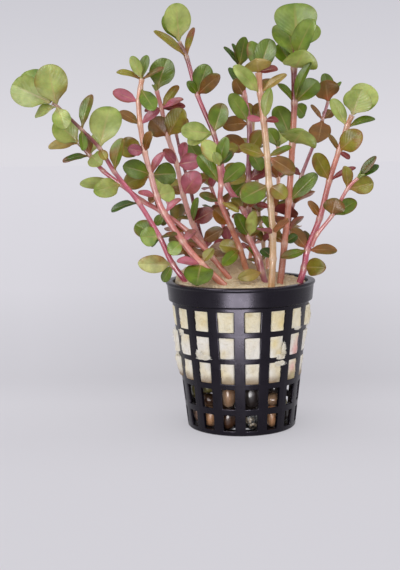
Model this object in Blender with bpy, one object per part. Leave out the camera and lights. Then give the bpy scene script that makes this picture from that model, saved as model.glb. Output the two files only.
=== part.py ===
"""Rotala grown in rock wool in a small net pot.

The pot stands on z = 0 with its axis on the Z axis, and the plant's front faces -Y.
Sizes are in millimetres until a mesh is made; MM turns them into metres.
"""
import math
import random

import bmesh
import bpy
from mathutils import Vector

MM = 0.001
GAP = 0.3

# Net pot
POT_HEIGHT = 49.2
POT_TOP_RADIUS = 25.0
FLOOR_RADIUS = 17.4
FLOOR_SLOT_FROM = 8.0
FLOOR_SLOT_TO = 13.5
WALL_RADIUS_LOW = 18.2
WALL_RADIUS_HIGH = 23.8
WALL_RADIUS_HIGH_AT = 50.0
WALL = 1.1
COLLAR_FROM = 42.8
COLLAR_STEP = 1.1
COLLAR_CHAMFER = 0.4
LIP_FROM = 48.2
LIP_CHAMFER = 0.2
RIBS = 16
RIB_WIDTH = 3.4
FIRST_RIB_TURN = -1.2
WINDOW_ROWS = ((1.7, 7.0), (9.1, 15.7), (17.6, 24.3), (26.0, 32.9), (34.7, 41.3))

# Rock wool
WOOL_BOTTOM = 17.8
WOOL_EDGE_TOP = 48.6
WOOL_MOUND = 9.5
WOOL_MOUND_AT = (-6.0, 6.0)
WOOL_MOUND_SPREAD = 9.5
WOOL_GAP = 0.5
WOOL_SHOULDER = 1.5
WOOL_WAIST = 30.0
WOOL_TOP_RINGS = (0.96, 0.72, 0.48, 0.24)
WOOL_SIDES = 20
ROOT_DEPTH = 4.0
SOCKET_GAP = 0.5
SOCKET_ABOVE = 4.0

# Pebbles: x, y, height and half sizes; the front ones first, then the middle and the back
PEBBLES = (
    (-13.7, -4.4, 4.9, (2.8, 3.3, 3.8)),
    (-10.2, -10.2, 4.8, (2.8, 2.9, 3.7)),
    (-4.2, -13.8, 4.9, (3.1, 2.8, 3.9)),
    (3.2, -14.0, 4.8, (3.2, 2.8, 3.7)),
    (10.0, -10.4, 4.9, (3.1, 3.0, 3.9)),
    (13.6, -3.4, 4.5, (2.6, 2.8, 3.4)),
    (-5.6, -4.6, 4.9, (3.8, 4.0, 3.9)),
    (3.0, -5.8, 4.9, (4.2, 4.0, 3.9)),
    (8.6, 1.6, 4.9, (3.4, 3.4, 3.9)),
    (-12.4, 3.6, 4.9, (3.6, 3.6, 3.9)),
    (-2.4, 3.8, 4.9, (4.4, 3.8, 3.9)),
    (13.8, 5.2, 4.9, (2.5, 3.0, 3.9)),
    (8.0, 10.8, 4.9, (3.6, 3.4, 3.9)),
    (0.6, 13.2, 4.9, (3.6, 3.6, 3.9)),
    (-7.4, 11.2, 4.9, (3.6, 3.6, 3.9)),
    (-14.5, -4.5, 12.9, (2.9, 3.4, 4.4)),
    (-10.9, -10.6, 14.9, (2.9, 3.0, 2.2)),
    (-10.7, -10.4, 10.7, (2.9, 3.0, 2.1)),
    (-4.3, -14.4, 12.9, (2.9, 2.9, 4.5)),
    (3.3, -14.6, 12.9, (3.3, 2.9, 4.4)),
    (10.5, -10.8, 14.9, (3.1, 3.0, 2.2)),
    (10.4, -10.6, 10.7, (3.1, 3.0, 2.1)),
    (-5.8, -4.8, 12.9, (3.9, 4.1, 4.5)),
    (3.2, -6.0, 12.9, (4.3, 4.1, 4.5)),
    (9.2, 1.6, 12.9, (3.7, 3.7, 4.5)),
    (-13.0, 3.9, 12.9, (3.7, 3.8, 4.5)),
    (-2.4, 4.2, 12.9, (4.5, 4.0, 4.5)),
    (12.9, 7.6, 12.9, (2.7, 2.4, 4.5)),
    (6.8, 12.4, 12.9, (3.3, 3.4, 4.5)),
    (-0.8, 14.0, 12.9, (3.6, 3.6, 4.5)),
    (-8.4, 11.8, 12.9, (3.6, 3.6, 4.5)),
)
PEBBLE_LEVELS = (-0.85, 0.0, 0.85)
PEBBLE_SIDES = 5

# Stems and leaves
STEM_SIDES = 5
STEM_TAPER = 0.3

# How much thinner the tip of a stem is than its foot, where that differs from the others
STEM_TAPERS = {
    "shoot_far_left": 0.5,
    "shoot_thick_centre": 0.1,
    "shoot_tall_right": 0.05,
    "shoot_mid_back": 0.15,
}
NODE_BAND = 1.2
LEAF_THICK = 0.7
LEAF_CUP = 0.10
LEAF_SPREAD = 1.3
LEAF_ROUNDNESS = 0.6
LEAF_STATIONS = ((0.28, 0.35), (0.64, 0.50))
SMALL_LEAF_STATIONS = ((0.45, 0.50),)
SMALL_LEAF = 9.4
NARROW_LEAF = 4.0
LEAF_END = (0.95, 0.24)
PAIR_LENGTH = 8.4
PAIR_RATIO = 0.66
PAIR_SPREAD = 58
PAIR_BUD = 0.8
PAIR_TONES = ("green", "green", "olive", "olive", "brown", "brown", "pink")
CLEARANCE = 1.05
OWN_CLEARANCE = 0.8
STEM_CLEARANCE = 0.85
OWN_STEM_CLEARANCE = 0.2
POT_CLEARANCE = 0.7
LEAN_TRIES = (0, 8, -8, 16, -16, 24, -24, 32, -32, 42, -42, 55, -55)
LONGEST_STRETCH = 1.25
SIZE_TRIES = (1.0, 0.85, 0.7, 0.55)

# Each shoot: stem radius, stem tone, and its nodes from foot to tip as (x, y, z) and leaves.
# The foot's height is worked out from the wool. None stands for an ordinary opposite pair.
# A leaf is (clock, length, width, lean, facing, tone): clock is its direction seen from the
# front in degrees from straight up, lean is towards the front, and facing is 90 where the
# blade is seen flat, 0 where it is seen edge-on, and negative where its underside shows.
SHOOTS = {
    "shoot_far_left": (1.05, "crimson", [
        ((-18, -8, 0), []),
        ((-22, -9, 55.5), [(-84, 11.5, 6, 15, 85, "light"), (-150, 7, 4, -10, 60, "green")]),
        ((-26, -10, 64.5), [(-64, 9.5, 6.5, -10, 65, "green"), (-84, 7, 6.5, 25, 85, "light"),
                            (80, 6.5, 3, 20, 30, "dark"), (-138, 4.5, 2.5, 20, 45, "dark")]),
        ((-32.5, -12, 76), [(-108, 9.5, 3.5, 10, 40, "dark")]),
        ((-40, -13, 86), [(18, 11.5, 5.5, 10, 60, "green")]),
        ((-44.5, -13, 93.5), [(13, 14, 10.5, 0, 85, "light"), (150, 4.5, 3, 0, 70, "olive")]),
        ((-50, -14, 99.5), [(17, 12, 4.5, -10, 65, "green"), (174, 7, 3.5, 10, 50, "green")]),
        ((-57.5, -15, 107), [(-112, 8.5, 4.5, 0, 55, "light"), (158, 8.5, 6, 15, 75, "light"),
                             (-9, 13.5, 10.5, 10, 85, "light")]),
        ((-59, -15, 107.8), [(-64, 15, 9.8, -10, 85, "light"), (-43, 16.5, 9, -28, 80, "green")]),
    ]),
    "shoot_left": (0.95, "rose", [
        ((-4, -9, 0), []),
        ((-9, -9, 57.5), [(-80, 10, 4, 0, 50, "brown")]),
        ((-17, -7, 66), [(-78, 5.5, 3.5, -15, 50, "brown")]),
        ((-26, -3, 72.5), [(170, 5, 3.5, 10, 60, "green"), (-20, 5, 3, -20, 50, "olive")]),
        ((-32, -3, 76), []),
        ((-39, -3, 81.5), [(-88, 13.5, 4.5, 0, 55, "light"), (-104, 9.5, 6.5, 20, 80, "light")]),
        ((-45, -1, 86), []),
        ((-49.5, 0, 91.2), [(-102, 9.5, 3.2, 5, 45, "dark"), (125, 5.5, 6, 0, 75, "light"),
                          (-10, 8, 4, 10, 60, "brown"), (20, 8.5, 4.5, -5, 70, "light")]),
        ((-53.2, 1, 95.3), [(-44, 11, 8.5, 15, 80, "light"), (-97, 10.5, 4.5, 5, 50, "tan")]),
    ]),
    "shoot_peach_left": (1.2, "peach", [
        ((-6, -13.5, 0), []),
        ((-12.5, -13, 56), [(-168, 9, 9.5, 40, 85, "green"), (-80, 8, 3.5, 10, 45, "pink"),
                            (40, 6.5, 4, -10, 50, "olive")]),
        ((-18.5, -11, 63), [(-130, 6, 5, 10, 75, "light"), (-78, 6, 4, -20, 60, "brown"),
                            (50, 6, 3.5, -20, 50, "pink")]),
        ((-24.5, -8, 72), [(-140, 5, 3.5, 15, 60, "green"), (50, 7.5, 3, 0, 45, "pink")]),
        ((-27, -6, 77.5), [(-75, 6.5, 3, 10, 45, "pink"), (-112, 5, 4.5, 20, 75, "brown"),
                           (75, 6, 6, 5, 80, "light")]),
        ((-29, -4, 84.5), [(-108, 9.5, 6.5, 5, 80, "olive"), (-70, 9.5, 6.5, -10, 65, "green"),
                           (33, 9, 3.5, 5, 50, "pink"), (88, 8.5, 7.5, -15, 80, "green")]),
        ((-31, -2, 92), [(-74, 9.5, 7, -15, 75, "olive"), (-76, 6.5, 4, 30, 75, "pink"),
                         (22, 7.5, 4, 10, 60, "brown")]),
        ((-32.5, 0, 101), [(-60, 8.5, 4, 0, 60, "brown"), (55, 8.5, 3.5, 10, 55, "pink")]),
        ((-33, 2, 108.5), [(-67, 9.5, 4.5, 0, 70, "pink")]),
        ((-32.5, 3.5, 113), [(145, 10, 5.5, 0, 70, "green"), (-140, 5, 3, -20, 50, "olive")]),
        ((-32, 4, 116), [(-23, 8.5, 3.8, 10, 75, "light"), (12, 8.5, 3.8, -10, 65, "green"),
                         (-74, 9, 3, 0, 45, "olive"), (63, 8.5, 3, 0, 45, "brown")]),
    ]),
    "shoot_pale_left": (1.05, "rose", [
        ((-10.5, 5, 0), []),
        ((-13, 6, 61.5), [(60, 9, 5, 15, 70, "brown"), (-70, 5, 4, -20, 60, "brown")]),
        ((-16, 6, 68), [(60, 9, 5.5, 15, 75, "crimson"), (14, 9.5, 3, 15, 50, "green")]),
        ((-19, 6, 77.5), [(38, 10, 7.5, 15, 80, "pink"), (-60, 5, 3.5, -20, 60, "brown")]),
        ((-21, 7, 87.5), [(-40, 7, 4, 0, 65, "pink"), (80, 8.5, 6, 10, 75, "pink")]),
        ((-24, 8, 97), [(-42, 8.5, 7.5, 15, 80, "brown"), (32, 11, 7.5, 0, 80, "dark")]),
        ((-26, 9, 106.5), [(37, 10, 3.8, -10, 60, "olive"), (70, 8.5, 3, 10, 50, "pink"),
                           (86, 8.5, 3.5, 10, 60, "crimson"), (-98, 6, 3, 10, 50, "crimson")]),
        ((-27.5, 9, 112.5), [(20, 11.5, 9, 0, 80, "green"), (-8, 9, 3, -20, 50, "light")]),
    ]),
    "shoot_pink_left": (0.8, "crimson", [
        ((-10, 13, 0), []),
        ((-12, 15, 58), None),
        ((-15, 18, 68), None),
        ((-17, 20, 78), None),
        ((-20, 22, 89), [(12, 6.5, 4, 0, 70, "pink"), (100, 7, 4.5, 0, 65, "crimson")]),
        ((-22, 24, 98), [(-35, 7, 5, 0, 75, "pink"), (35, 7, 5, 0, 75, "olive")]),
    ]),
    "shoot_tall_left": (1.05, "rose", [
        ((8, -9, 0), []),
        ((7.2, -9, 52.6), [(-98, 8.5, 4, 15, 75, "tan")]),
        ((6, -9, 57.5), [(-40, 5, 3, -30, 50, "green")]),
        ((3, -9, 64), [(-28, 9.5, 4.5, 10, 65, "green"), (12, 9.5, 4, 5, 75, "light"),
                       (55, 6, 2.5, 10, 45, "olive")]),
        ((1.2, -8, 73), None),
        ((-4, -6, 81), [(70, 7, 4, -20, 60, "olive")]),
        ((-6.5, -3, 91), [(-140, 7, 4, 0, 60, "dark"), (70, 7, 4.5, -15, 65, "olive")]),
        ((-8.3, -1, 97.8), [(-84, 11, 6.5, 5, 75, "light"), (-108, 9.5, 5, -10, 65, "light"),
                            (18, 10.5, 6.8, 0, 80, "green")]),
        ((-13.5, 2, 110.5), [(20, 10.5, 7, 0, 75, "green"), (52, 10.5, 5, 20, 75, "brown"),
                             (-38, 5.5, 3.5, 0, 60, "green")]),
        ((-17, 4, 123), [(-52, 13.5, 3.2, 10, 50, "olive"), (12, 11.5, 3, -20, 55, "olive")]),
        ((-19.5, 5, 128), [(-2, 13, 9, 15, 85, "green"), (-17, 11.5, 8, -20, 80, "light")]),
    ]),
    "shoot_centre": (1.1, "peach", [
        ((2, -3, 0), []),
        ((0, -5, 60), [(-80, 7.5, 5, 20, 75, "olive"), (-95, 11, 5.5, -15, 65, "brown"),
                       (-130, 8.5, 4, 20, 75, "green")]),
        ((-3, -9, 68), [(-45, 8, 5.5, 15, 75, "brown")]),
        ((-6, -13, 76), [(-70, 7.5, 3.5, 10, 50, "dark"), (119, 7.5, 2.5, 25, 45, "olive")]),
        ((-5.8, -16, 81.5), [(-38, 12, 5, 0, 70, "green"), (50, 10, 5, 5, 75, "light")]),
        ((-6.3, -17, 87.5), [(-32, 9.5, 5.5, 0, 75, "light"), (16, 9.5, 4.2, 0, 75, "green"),
                             (-18, 6, 3.2, 40, 75, "light"), (45, 6.5, 3.5, -10, 65, "dark")]),
    ]),
    "shoot_thick_centre": (1.15, "cream", [
        ((10, -15, 0), []),
        ((10.5, -15, 57.5), [(-50, 6, 4, -40, 60, "dark")]),
        ((10.5, -15, 65.5), None),
        ((10, -14, 74), [(-80, 5, 2.5, 15, 50, "crimson")]),
        ((9.5, -13, 81), [(-116, 11, 7.5, 20, 75, "green"), (128, 7, 5.5, 0, 75, "olive")]),
        ((9, -12, 90), [(-70, 10, 4.5, 15, 60, "olive"), (68, 8.5, 3, 0, 45, "green"),
                        (122, 10.5, 5.5, 5, 75, "brown")]),
        ((8, -11, 101.5), [(12, 10.5, 4, 10, 70, "light"), (95, 5, 3, 15, 50, "crimson"),
                           (-80, 5.5, 3, 0, 50, "pink")]),
        ((7, -11, 110), [(-46, 12.5, 5, 15, 75, "light"), (56, 10.5, 3.5, 10, 50, "tan"),
                         (38, 7, 4.5, -30, 70, "olive")]),
        ((6.5, -11, 116.5), [(20, 11.5, 7, -5, 80, "green"), (-12, 11, 5.5, -15, 70, "green"),
                             (-12, 8, 9, 58, 85, "tan"), (82, 6.5, 3.2, 15, 50, "crimson")]),
    ]),
    "shoot_mid_back": (1.05, "rose", [
        ((7, -3, 0), []),
        ((6, -3, 55), None),
        ((3.5, -1, 64), None),
        ((3, 1, 73), None),
        ((3, 3, 82), [(60, 8, 5, 0, 60, "crimson"), (-58, 9.5, 6, 10, 70, "olive"),
                      (-130, 8, 5, 10, 70, "green")]),
        ((3.5, 4, 92), [(35, 8, 5.5, 10, 70, "olive"), (-66, 10, 6, 10, 75, "brown"),
                        (150, 8, 5, 10, 70, "green")]),
        ((3.5, 5, 101), [(-33, 11.8, 5.5, 0, 80, "fresh"), (-95, 9.5, 5.5, 15, 75, "brown")]),
        ((2, 6, 110), [(-27, 11.5, 3.5, -10, 50, "dark"), (-30, 7, 5.5, 20, 75, "brown")]),
        ((0.5, 8, 120), [(-39, 8.5, 2.5, 0, 50, "dark"), (-18, 8, 2.5, 0, 50, "dark"),
                         (13, 9.5, 5, 10, 70, "green"), (42, 6.5, 2.5, 0, 50, "green")]),
    ]),
    "shoot_thin_peach": (0.75, "cream", [
        ((8, 7, 0), []),
        ((8, 9, 61), None),
        ((6.5, 11, 71), None),
        ((6, 12, 82), None),
        ((5, 13, 92), None),
        ((5, 14, 102), [(30, 7, 5, 0, 70, "brown"), (-30, 7, 5, 0, 70, "olive")]),
    ]),
    "shoot_tall_right": (1.1, "crimson", [
        ((13, -9, 0), []),
        ((14.5, -9, 62), [(-55, 6, 4, -20, 60, "brown"), (60, 5, 3.5, 0, 60, "dark")]),
        ((16, -8, 75.5), [(46, 13, 5.5, 5, 70, "green"), (-170, 7, 8, -45, 80, "crimson")]),
        ((17.3, -7, 94), [(38, 8.5, 12.5, 50, 112, "light"), (-22, 13.5, 7, 5, 75, "dark")]),
        ((18, -6, 107), [(23, 14, 3.8, 10, 50, "green"), (48, 11.5, 6.5, -20, 80, "green"),
                         (-40, 8.5, 3, -10, 50, "green"), (140, 6, 5, -25, 70, "green")]),
        ((18, -5, 118), [(28, 9.5, 11.5, 50, 112, "light"), (-30, 10, 6.5, -10, 75, "green")]),
        ((18.3, -5, 121), [(-12, 13.5, 11.5, 20, 85, "fresh"), (26, 13, 7.5, 2, 65, "light")]),
        ((18.8, -5, 126), [(-2, 13.5, 13.8, -12, 85, "green"), (58, 9, 6.5, -4, 75, "fresh")]),
    ]),
    "shoot_thin_right": (0.75, "mauve", [
        ((14, -1, 0), []),
        ((16, 2, 65), None),
        ((18, 4, 74), None),
        ((21, 6, 83.5), [(-60, 5, 3, 0, 50, "crimson")]),
        ((25.5, 8, 94.5), []),
        ((28.3, 10, 102), [(-165, 9, 7.5, 25, 80, "brown"), (-38, 6.5, 2.5, 0, 50, "brown"),
                           (50, 5, 4, -20, 60, "brown")]),
        ((30.3, 12, 108), [(-10, 8, 8.5, 25, 80, "brown"), (-6, 10, 5, -10, 75, "green"),
                           (35, 8.5, 2.5, -10, 50, "green")]),
    ]),
    "shoot_right": (1.15, "rose", [
        ((19.5, -6.5, 0), []),
        ((21, -7, 53.8), [(86, 7.5, 6, 25, 80, "olive")]),
        ((22, -7, 59.5), [(-36, 9, 5, 10, 75, "brown"), (92, 10, 4, 0, 60, "brown"),
                          (-101, 9.5, 3.5, 15, 50, "green"), (-5, 6.5, 3, -20, 60, "dark")]),
        ((26, -8, 70), [(-34, 7, 3, 10, 60, "brown")]),
        ((29, -9, 82), [(-30, 10.5, 5.5, 0, 75, "olive"), (63, 10, 2.5, 20, 45, "crimson")]),
        ((32, -10, 91.5), [(48, 9, 7, 0, 80, "olive"), (-34, 6.5, 2.5, 10, 55, "brown"),
                           (128, 4.5, 2.5, 20, 50, "crimson")]),
        ((34.5, -10, 99), [(-26, 10.5, 4.5, 5, 75, "light"), (75, 9.5, 3.5, 0, 45, "green")]),
        ((36, -11, 102.6), [(18, 9.5, 9.2, 25, 85, "light"), (34, 12, 9.5, -15, 80, "light")]),
    ]),
    "side_shoot_right": (0.75, "rose", [
        ((23.3, -9.3, 61), []),
        ((25, -11, 65), []),
        ((29.5, -13, 71), [(10, 6.5, 7, 25, 80, "brown"), (60, 9.5, 5, -10, 75, "green"),
                           (20, 9, 4.5, -25, 70, "olive")]),
        ((34.2, -15, 79.5), [(78, 9, 6, 5, 80, "olive"), (-6, 7.5, 4, 0, 70, "olive")]),
        ((37.4, -16, 83), [(40, 9, 3, 5, 60, "dark"), (60, 8, 3, -10, 55, "dark")]),
    ]),
    "shoot_back_left": (0.85, "rose", [
        ((-2, 12, 0), []),
        ((-4, 17, 60), None),
        ((-7, 22, 70), None),
        ((-10, 27, 79), None),
        ((-14, 31, 88), [(-30, 8, 5.5, -10, 70, "green"), (30, 8, 5.5, -20, 70, "light")]),
    ]),
    "shoot_back_right": (0.85, "peach", [
        ((9, 14, 0), []),
        ((11, 19, 60), None),
        ((13, 24, 71), None),
        ((14, 28, 82), None),
        ((14, 32, 93), [(-30, 8, 5.5, -10, 70, "green"), (30, 8, 5.5, -20, 70, "light")]),
    ]),
    "shoot_back_low": (0.8, "peach", [
        ((3, 18, 0), []),
        ((4, 24, 58), None),
        ((3, 31, 66), None),
        ((1, 37, 74), [(-35, 8, 5.5, -10, 70, "olive"), (35, 8, 5.5, -20, 70, "green")]),
    ]),
    "shoot_back_side": (0.8, "rose", [
        ((-13, 12, 0), []),
        ((-17, 18, 57), None),
        ((-22, 25, 66), None),
        ((-27, 31, 76), [(-35, 8, 5.5, -10, 70, "light"), (35, 8, 5.5, -20, 70, "olive")]),
    ]),
}

TONES = {
    "tan": (0.36, 0.28, 0.09),
    "light": (0.36, 0.46, 0.12),
    "fresh": (0.26, 0.32, 0.06),
    "green": (0.16, 0.22, 0.03),
    "dark": (0.07, 0.13, 0.03),
    "olive": (0.25, 0.24, 0.06),
    "brown": (0.26, 0.14, 0.06),
    "pink": (0.42, 0.13, 0.16),
    "crimson": (0.30, 0.05, 0.08),
    "rose": (0.60, 0.24, 0.24),
    "peach": (0.68, 0.38, 0.26),
    "cream": (0.70, 0.50, 0.32),
    "mauve": (0.42, 0.18, 0.22),
}


def clear_scene():
    for thing in list(bpy.data.objects):
        bpy.data.objects.remove(thing, do_unlink=True)


def material(name, colour, roughness):
    made = bpy.data.materials.get(name)
    if made:
        return made
    made = bpy.data.materials.new(name)
    made.use_nodes = True
    shader = made.node_tree.nodes["Principled BSDF"]
    shader.inputs["Base Color"].default_value = (*colour, 1.0)
    shader.inputs["Roughness"].default_value = roughness
    shader.inputs["Metallic"].default_value = 0.0
    return made


def add_object(name, bm, materials, parent):
    mesh = bpy.data.meshes.new(name)
    bmesh.ops.scale(bm, vec=(MM, MM, MM), verts=bm.verts)
    bm.to_mesh(mesh)
    bm.free()
    made = bpy.data.objects.new(name, mesh)
    for each in materials:
        mesh.materials.append(each)
    made.parent = parent
    bpy.context.collection.objects.link(made)
    return made


# Net pot

def wall_radius(z):
    return WALL_RADIUS_LOW + (WALL_RADIUS_HIGH - WALL_RADIUS_LOW) * z / WALL_RADIUS_HIGH_AT


def pot_levels():
    """Outer (r, z), inner (r, z) and whether windows follow, from the floor's middle to the lip."""
    levels = [
        ((FLOOR_SLOT_FROM, 0.0), (FLOOR_SLOT_FROM, WALL), True),
        ((FLOOR_SLOT_TO, 0.0), (FLOOR_SLOT_TO, WALL), False),
        ((FLOOR_RADIUS, 0.0), (FLOOR_RADIUS - WALL, WALL), False),
    ]
    for low, high in WINDOW_ROWS:
        levels.append(((wall_radius(low), low), (wall_radius(low) - WALL, low), True))
        levels.append(((wall_radius(high), high), (wall_radius(high) - WALL, high), False))
    collar = wall_radius(COLLAR_FROM)
    lip = wall_radius(LIP_FROM)
    inner_top = wall_radius(POT_HEIGHT) - WALL
    levels += [
        ((collar, COLLAR_FROM - COLLAR_CHAMFER), (collar - WALL, COLLAR_FROM - COLLAR_CHAMFER), False),
        ((collar + COLLAR_STEP, COLLAR_FROM), (collar - WALL, COLLAR_FROM), False),
        ((lip + COLLAR_STEP, LIP_FROM), (lip - WALL, LIP_FROM), False),
        ((POT_TOP_RADIUS, LIP_FROM + LIP_CHAMFER), (lip - WALL, LIP_FROM + LIP_CHAMFER), False),
        ((POT_TOP_RADIUS, POT_HEIGHT), (inner_top, POT_HEIGHT), False),
    ]
    return levels


def pot_ring(bm, radius, z):
    """Two points for each rib, so that ribs keep one width as the pot widens."""
    points = []
    for rib in range(RIBS):
        middle = math.radians(FIRST_RIB_TURN + 360 * rib / RIBS - 90)
        half = min(RIB_WIDTH / 2 / radius, math.pi / RIBS / 2)
        for turn in (middle - half, middle + half):
            points.append(bm.verts.new((radius * math.cos(turn), radius * math.sin(turn), z)))
    return points


def make_pot(parent):
    bm = bmesh.new()
    levels = pot_levels()
    outer = [pot_ring(bm, *level[0]) for level in levels]
    inner = [pot_ring(bm, *level[1]) for level in levels]
    count = 2 * RIBS
    bm.faces.new(list(reversed(outer[0])))
    bm.faces.new(inner[0])
    for step in range(len(levels) - 1):
        windows = levels[step][2]
        for i in range(count):
            j = (i + 1) % count
            if windows and i % 2:
                bm.faces.new((outer[step][i], outer[step][j], inner[step][j], inner[step][i]))
                bm.faces.new((outer[step + 1][j], outer[step + 1][i],
                              inner[step + 1][i], inner[step + 1][j]))
                bm.faces.new((outer[step][j], outer[step + 1][j],
                              inner[step + 1][j], inner[step][j]))
                bm.faces.new((outer[step + 1][i], outer[step][i],
                              inner[step][i], inner[step + 1][i]))
            else:
                bm.faces.new((outer[step][i], outer[step][j],
                              outer[step + 1][j], outer[step + 1][i]))
                bm.faces.new((inner[step][j], inner[step][i],
                              inner[step + 1][i], inner[step + 1][j]))
    for i in range(count):
        j = (i + 1) % count
        bm.faces.new((outer[-1][i], outer[-1][j], inner[-1][j], inner[-1][i]))
    bmesh.ops.recalc_face_normals(bm, faces=bm.faces)
    return add_object("net_pot", bm, [material("pot plastic", (0.02, 0.018, 0.026), 0.35)], parent)


# Rock wool

def wool_top(x, y):
    away = (x - WOOL_MOUND_AT[0]) ** 2 + (y - WOOL_MOUND_AT[1]) ** 2
    return WOOL_EDGE_TOP + WOOL_MOUND * math.exp(-away / (2 * WOOL_MOUND_SPREAD ** 2))


def round_ring(bm, radius, sides, height):
    """A ring of points about the Z axis whose height may depend on x and y."""
    points = []
    for i in range(sides):
        turn = 2 * math.pi * i / sides
        x = radius * math.cos(turn)
        y = radius * math.sin(turn)
        points.append(bm.verts.new((x, y, height(x, y))))
    return points


def bridge(bm, low, high):
    sides = len(low)
    for i in range(sides):
        j = (i + 1) % sides
        bm.faces.new((low[i], low[j], high[j], high[i]))


def make_wool(parent, cutter):
    bm = bmesh.new()
    rings = []
    for z in (WOOL_BOTTOM, WOOL_WAIST, WOOL_EDGE_TOP - WOOL_SHOULDER):
        radius = wall_radius(z) - WALL - WOOL_GAP
        rings.append(round_ring(bm, radius, WOOL_SIDES, lambda x, y, z=z: z))
    edge = wall_radius(WOOL_EDGE_TOP) - WALL - WOOL_GAP
    for share in WOOL_TOP_RINGS:
        rings.append(round_ring(bm, edge * share, WOOL_SIDES, wool_top))
    bm.faces.new(list(reversed(rings[0])))
    for low, high in zip(rings, rings[1:]):
        bridge(bm, low, high)
    peak = bm.verts.new((0, 0, wool_top(0, 0)))
    for i in range(WOOL_SIDES):
        bm.faces.new((rings[-1][i], rings[-1][(i + 1) % WOOL_SIDES], peak))
    wool = add_object("rock_wool", bm, [material("rock wool", (0.72, 0.62, 0.40), 0.95)], parent)
    sockets = wool.modifiers.new("sockets", "BOOLEAN")
    sockets.operation = "DIFFERENCE"
    sockets.solver = "EXACT"
    sockets.object = cutter
    return wool


# Pebbles

def make_pebble(name, centre, half, parent):
    """A worn stone: the hull of seeded points near an ellipsoid, kept inside it."""
    rng = random.Random(name)
    bm = bmesh.new()
    for level in PEBBLE_LEVELS:
        around = math.sqrt(1 - level * level)
        for i in range(PEBBLE_SIDES):
            angle = 2 * math.pi * (i + rng.uniform(0.25, 0.75)) / PEBBLE_SIDES
            swell = rng.uniform(0.9, 0.99)
            bm.verts.new((centre[0] + half[0] * around * math.cos(angle) * swell,
                          centre[1] + half[1] * around * math.sin(angle) * swell,
                          centre[2] + half[2] * level * rng.uniform(0.94, 1.06)))
    hull = bmesh.ops.convex_hull(bm, input=bm.verts)
    inside = [each for each in hull["geom_interior"] if isinstance(each, bmesh.types.BMVert)]
    bmesh.ops.delete(bm, geom=inside, context="VERTS")
    bmesh.ops.recalc_face_normals(bm, faces=bm.faces)
    tan = rng.uniform(0.6, 1.3)
    colour = (0.20 * tan, 0.12 * tan, 0.07 * tan)
    add_object(name, bm, [material(name + " stone", colour, 0.6)], parent)


def make_pebbles(parent):
    for number, (x, y, height, half) in enumerate(PEBBLES, 1):
        make_pebble(f"pebble_{number:02d}", (x, y, height), half, parent)


# Layout of stems and leaves

class Leaf:
    """A blade with its base on a stem node, and the points that its middle surface runs through."""

    def __init__(self, shoot, node, base, along, normal, length, width, tone):
        self.shoot = shoot
        self.node = node
        self.base = base
        self.along = along.normalized()
        self.across = self.along.cross(normal).normalized()
        self.normal = self.across.cross(self.along)
        self.length = length
        self.width = width
        self.tone = tone
        self.sampled = []

    def surface(self, along_share, across_share):
        """A point of the middle surface; the edges rise towards the upper face."""
        rise = LEAF_CUP * self.width * abs(across_share) * 2
        return (self.base + self.along * (self.length * along_share)
                + self.across * (self.width * across_share) + self.normal * rise)

    def samples(self):
        if not self.sampled:
            for step in range(2, 11):
                half = half_width_share(step / 10)
                for side in (-1, -0.5, 0, 0.5, 1):
                    self.sampled.append(self.surface(step / 10, side * half))
        return self.sampled


def half_width_share(share):
    """Half the width at a share of the length, as a share of the full width; widest beyond the middle."""
    return 0.5 * math.sin(math.pi * min(1.0, max(0.0, share)) ** LEAF_SPREAD) ** LEAF_ROUNDNESS


def leaf_from_front(clock, lean, facing):
    """Directions along a leaf and off its upper face, given as they look from the front."""
    turn = math.radians(clock)
    tip = math.radians(lean)
    along = Vector((math.sin(turn) * math.cos(tip), -math.sin(tip), math.cos(turn) * math.cos(tip)))
    flat = Vector((math.cos(turn), 0, -math.sin(turn)))
    to_front = flat.cross(along)
    roll = math.radians(90 - facing) * math.copysign(1, math.sin(turn))
    across = flat * math.cos(roll) + to_front * math.sin(roll)
    return along, across.cross(along)


def foreshortening(lean, new_lean):
    """How much longer a leaf has to be to look as long from the front once it leans more."""
    shorter = max(0.1, math.cos(math.radians(new_lean)))
    return min(LONGEST_STRETCH, math.cos(math.radians(lean)) / shorter)


def stem_axis(points, index):
    before = points[max(0, index - 1)]
    after = points[min(len(points) - 1, index + 1)]
    return (after - before).normalized()


def shoot_points(nodes):
    points = [Vector(place) for place, _ in nodes]
    if points[0].z == 0:
        foot = points[0]
        foot.z = wool_top(foot.x, foot.y)
        down = (foot - points[1]).normalized()
        points[0] = foot + down * ROOT_DEPTH
    return points


def stem_curve(points, index, share):
    """A smooth curve through the nodes."""
    p1, p2 = points[index], points[index + 1]
    p0 = points[index - 1] if index else p1 * 2 - p2
    p3 = points[index + 2] if index + 2 < len(points) else p2 * 2 - p1
    return 0.5 * (2 * p1 + (p2 - p0) * share + (2 * p0 - 5 * p1 + 4 * p2 - p3) * share ** 2
                  + (3 * p1 - p0 - 3 * p2 + p3) * share ** 3)


def ordinary_pair(name, points, index):
    """Two opposite leaves, a quarter turn round from the pair below, and a smaller pair across them."""
    rng = random.Random(f"{name} {index}")
    axis = stem_axis(points, index)
    side = axis.cross(Vector((0, 1, 0))).normalized()
    front = side.cross(axis)
    turn = math.radians(90 * index + rng.uniform(-30, 30) + 45)
    pair = []
    for quarter, size in ((0, 1.0), (2, 1.0), (1, PAIR_BUD), (3, PAIR_BUD)):
        heading = turn + quarter * math.pi / 2
        out = side * math.cos(heading) + front * math.sin(heading)
        spread = math.radians(PAIR_SPREAD + rng.uniform(-10, 14))
        along = axis * math.cos(spread) + out * math.sin(spread)
        normal = axis * math.sin(spread) - out * math.cos(spread)
        length = PAIR_LENGTH * size * rng.uniform(0.8, 1.15)
        tone = rng.choice(PAIR_TONES)
        pair.append((along, normal, length, length * PAIR_RATIO, tone))
    return pair


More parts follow.
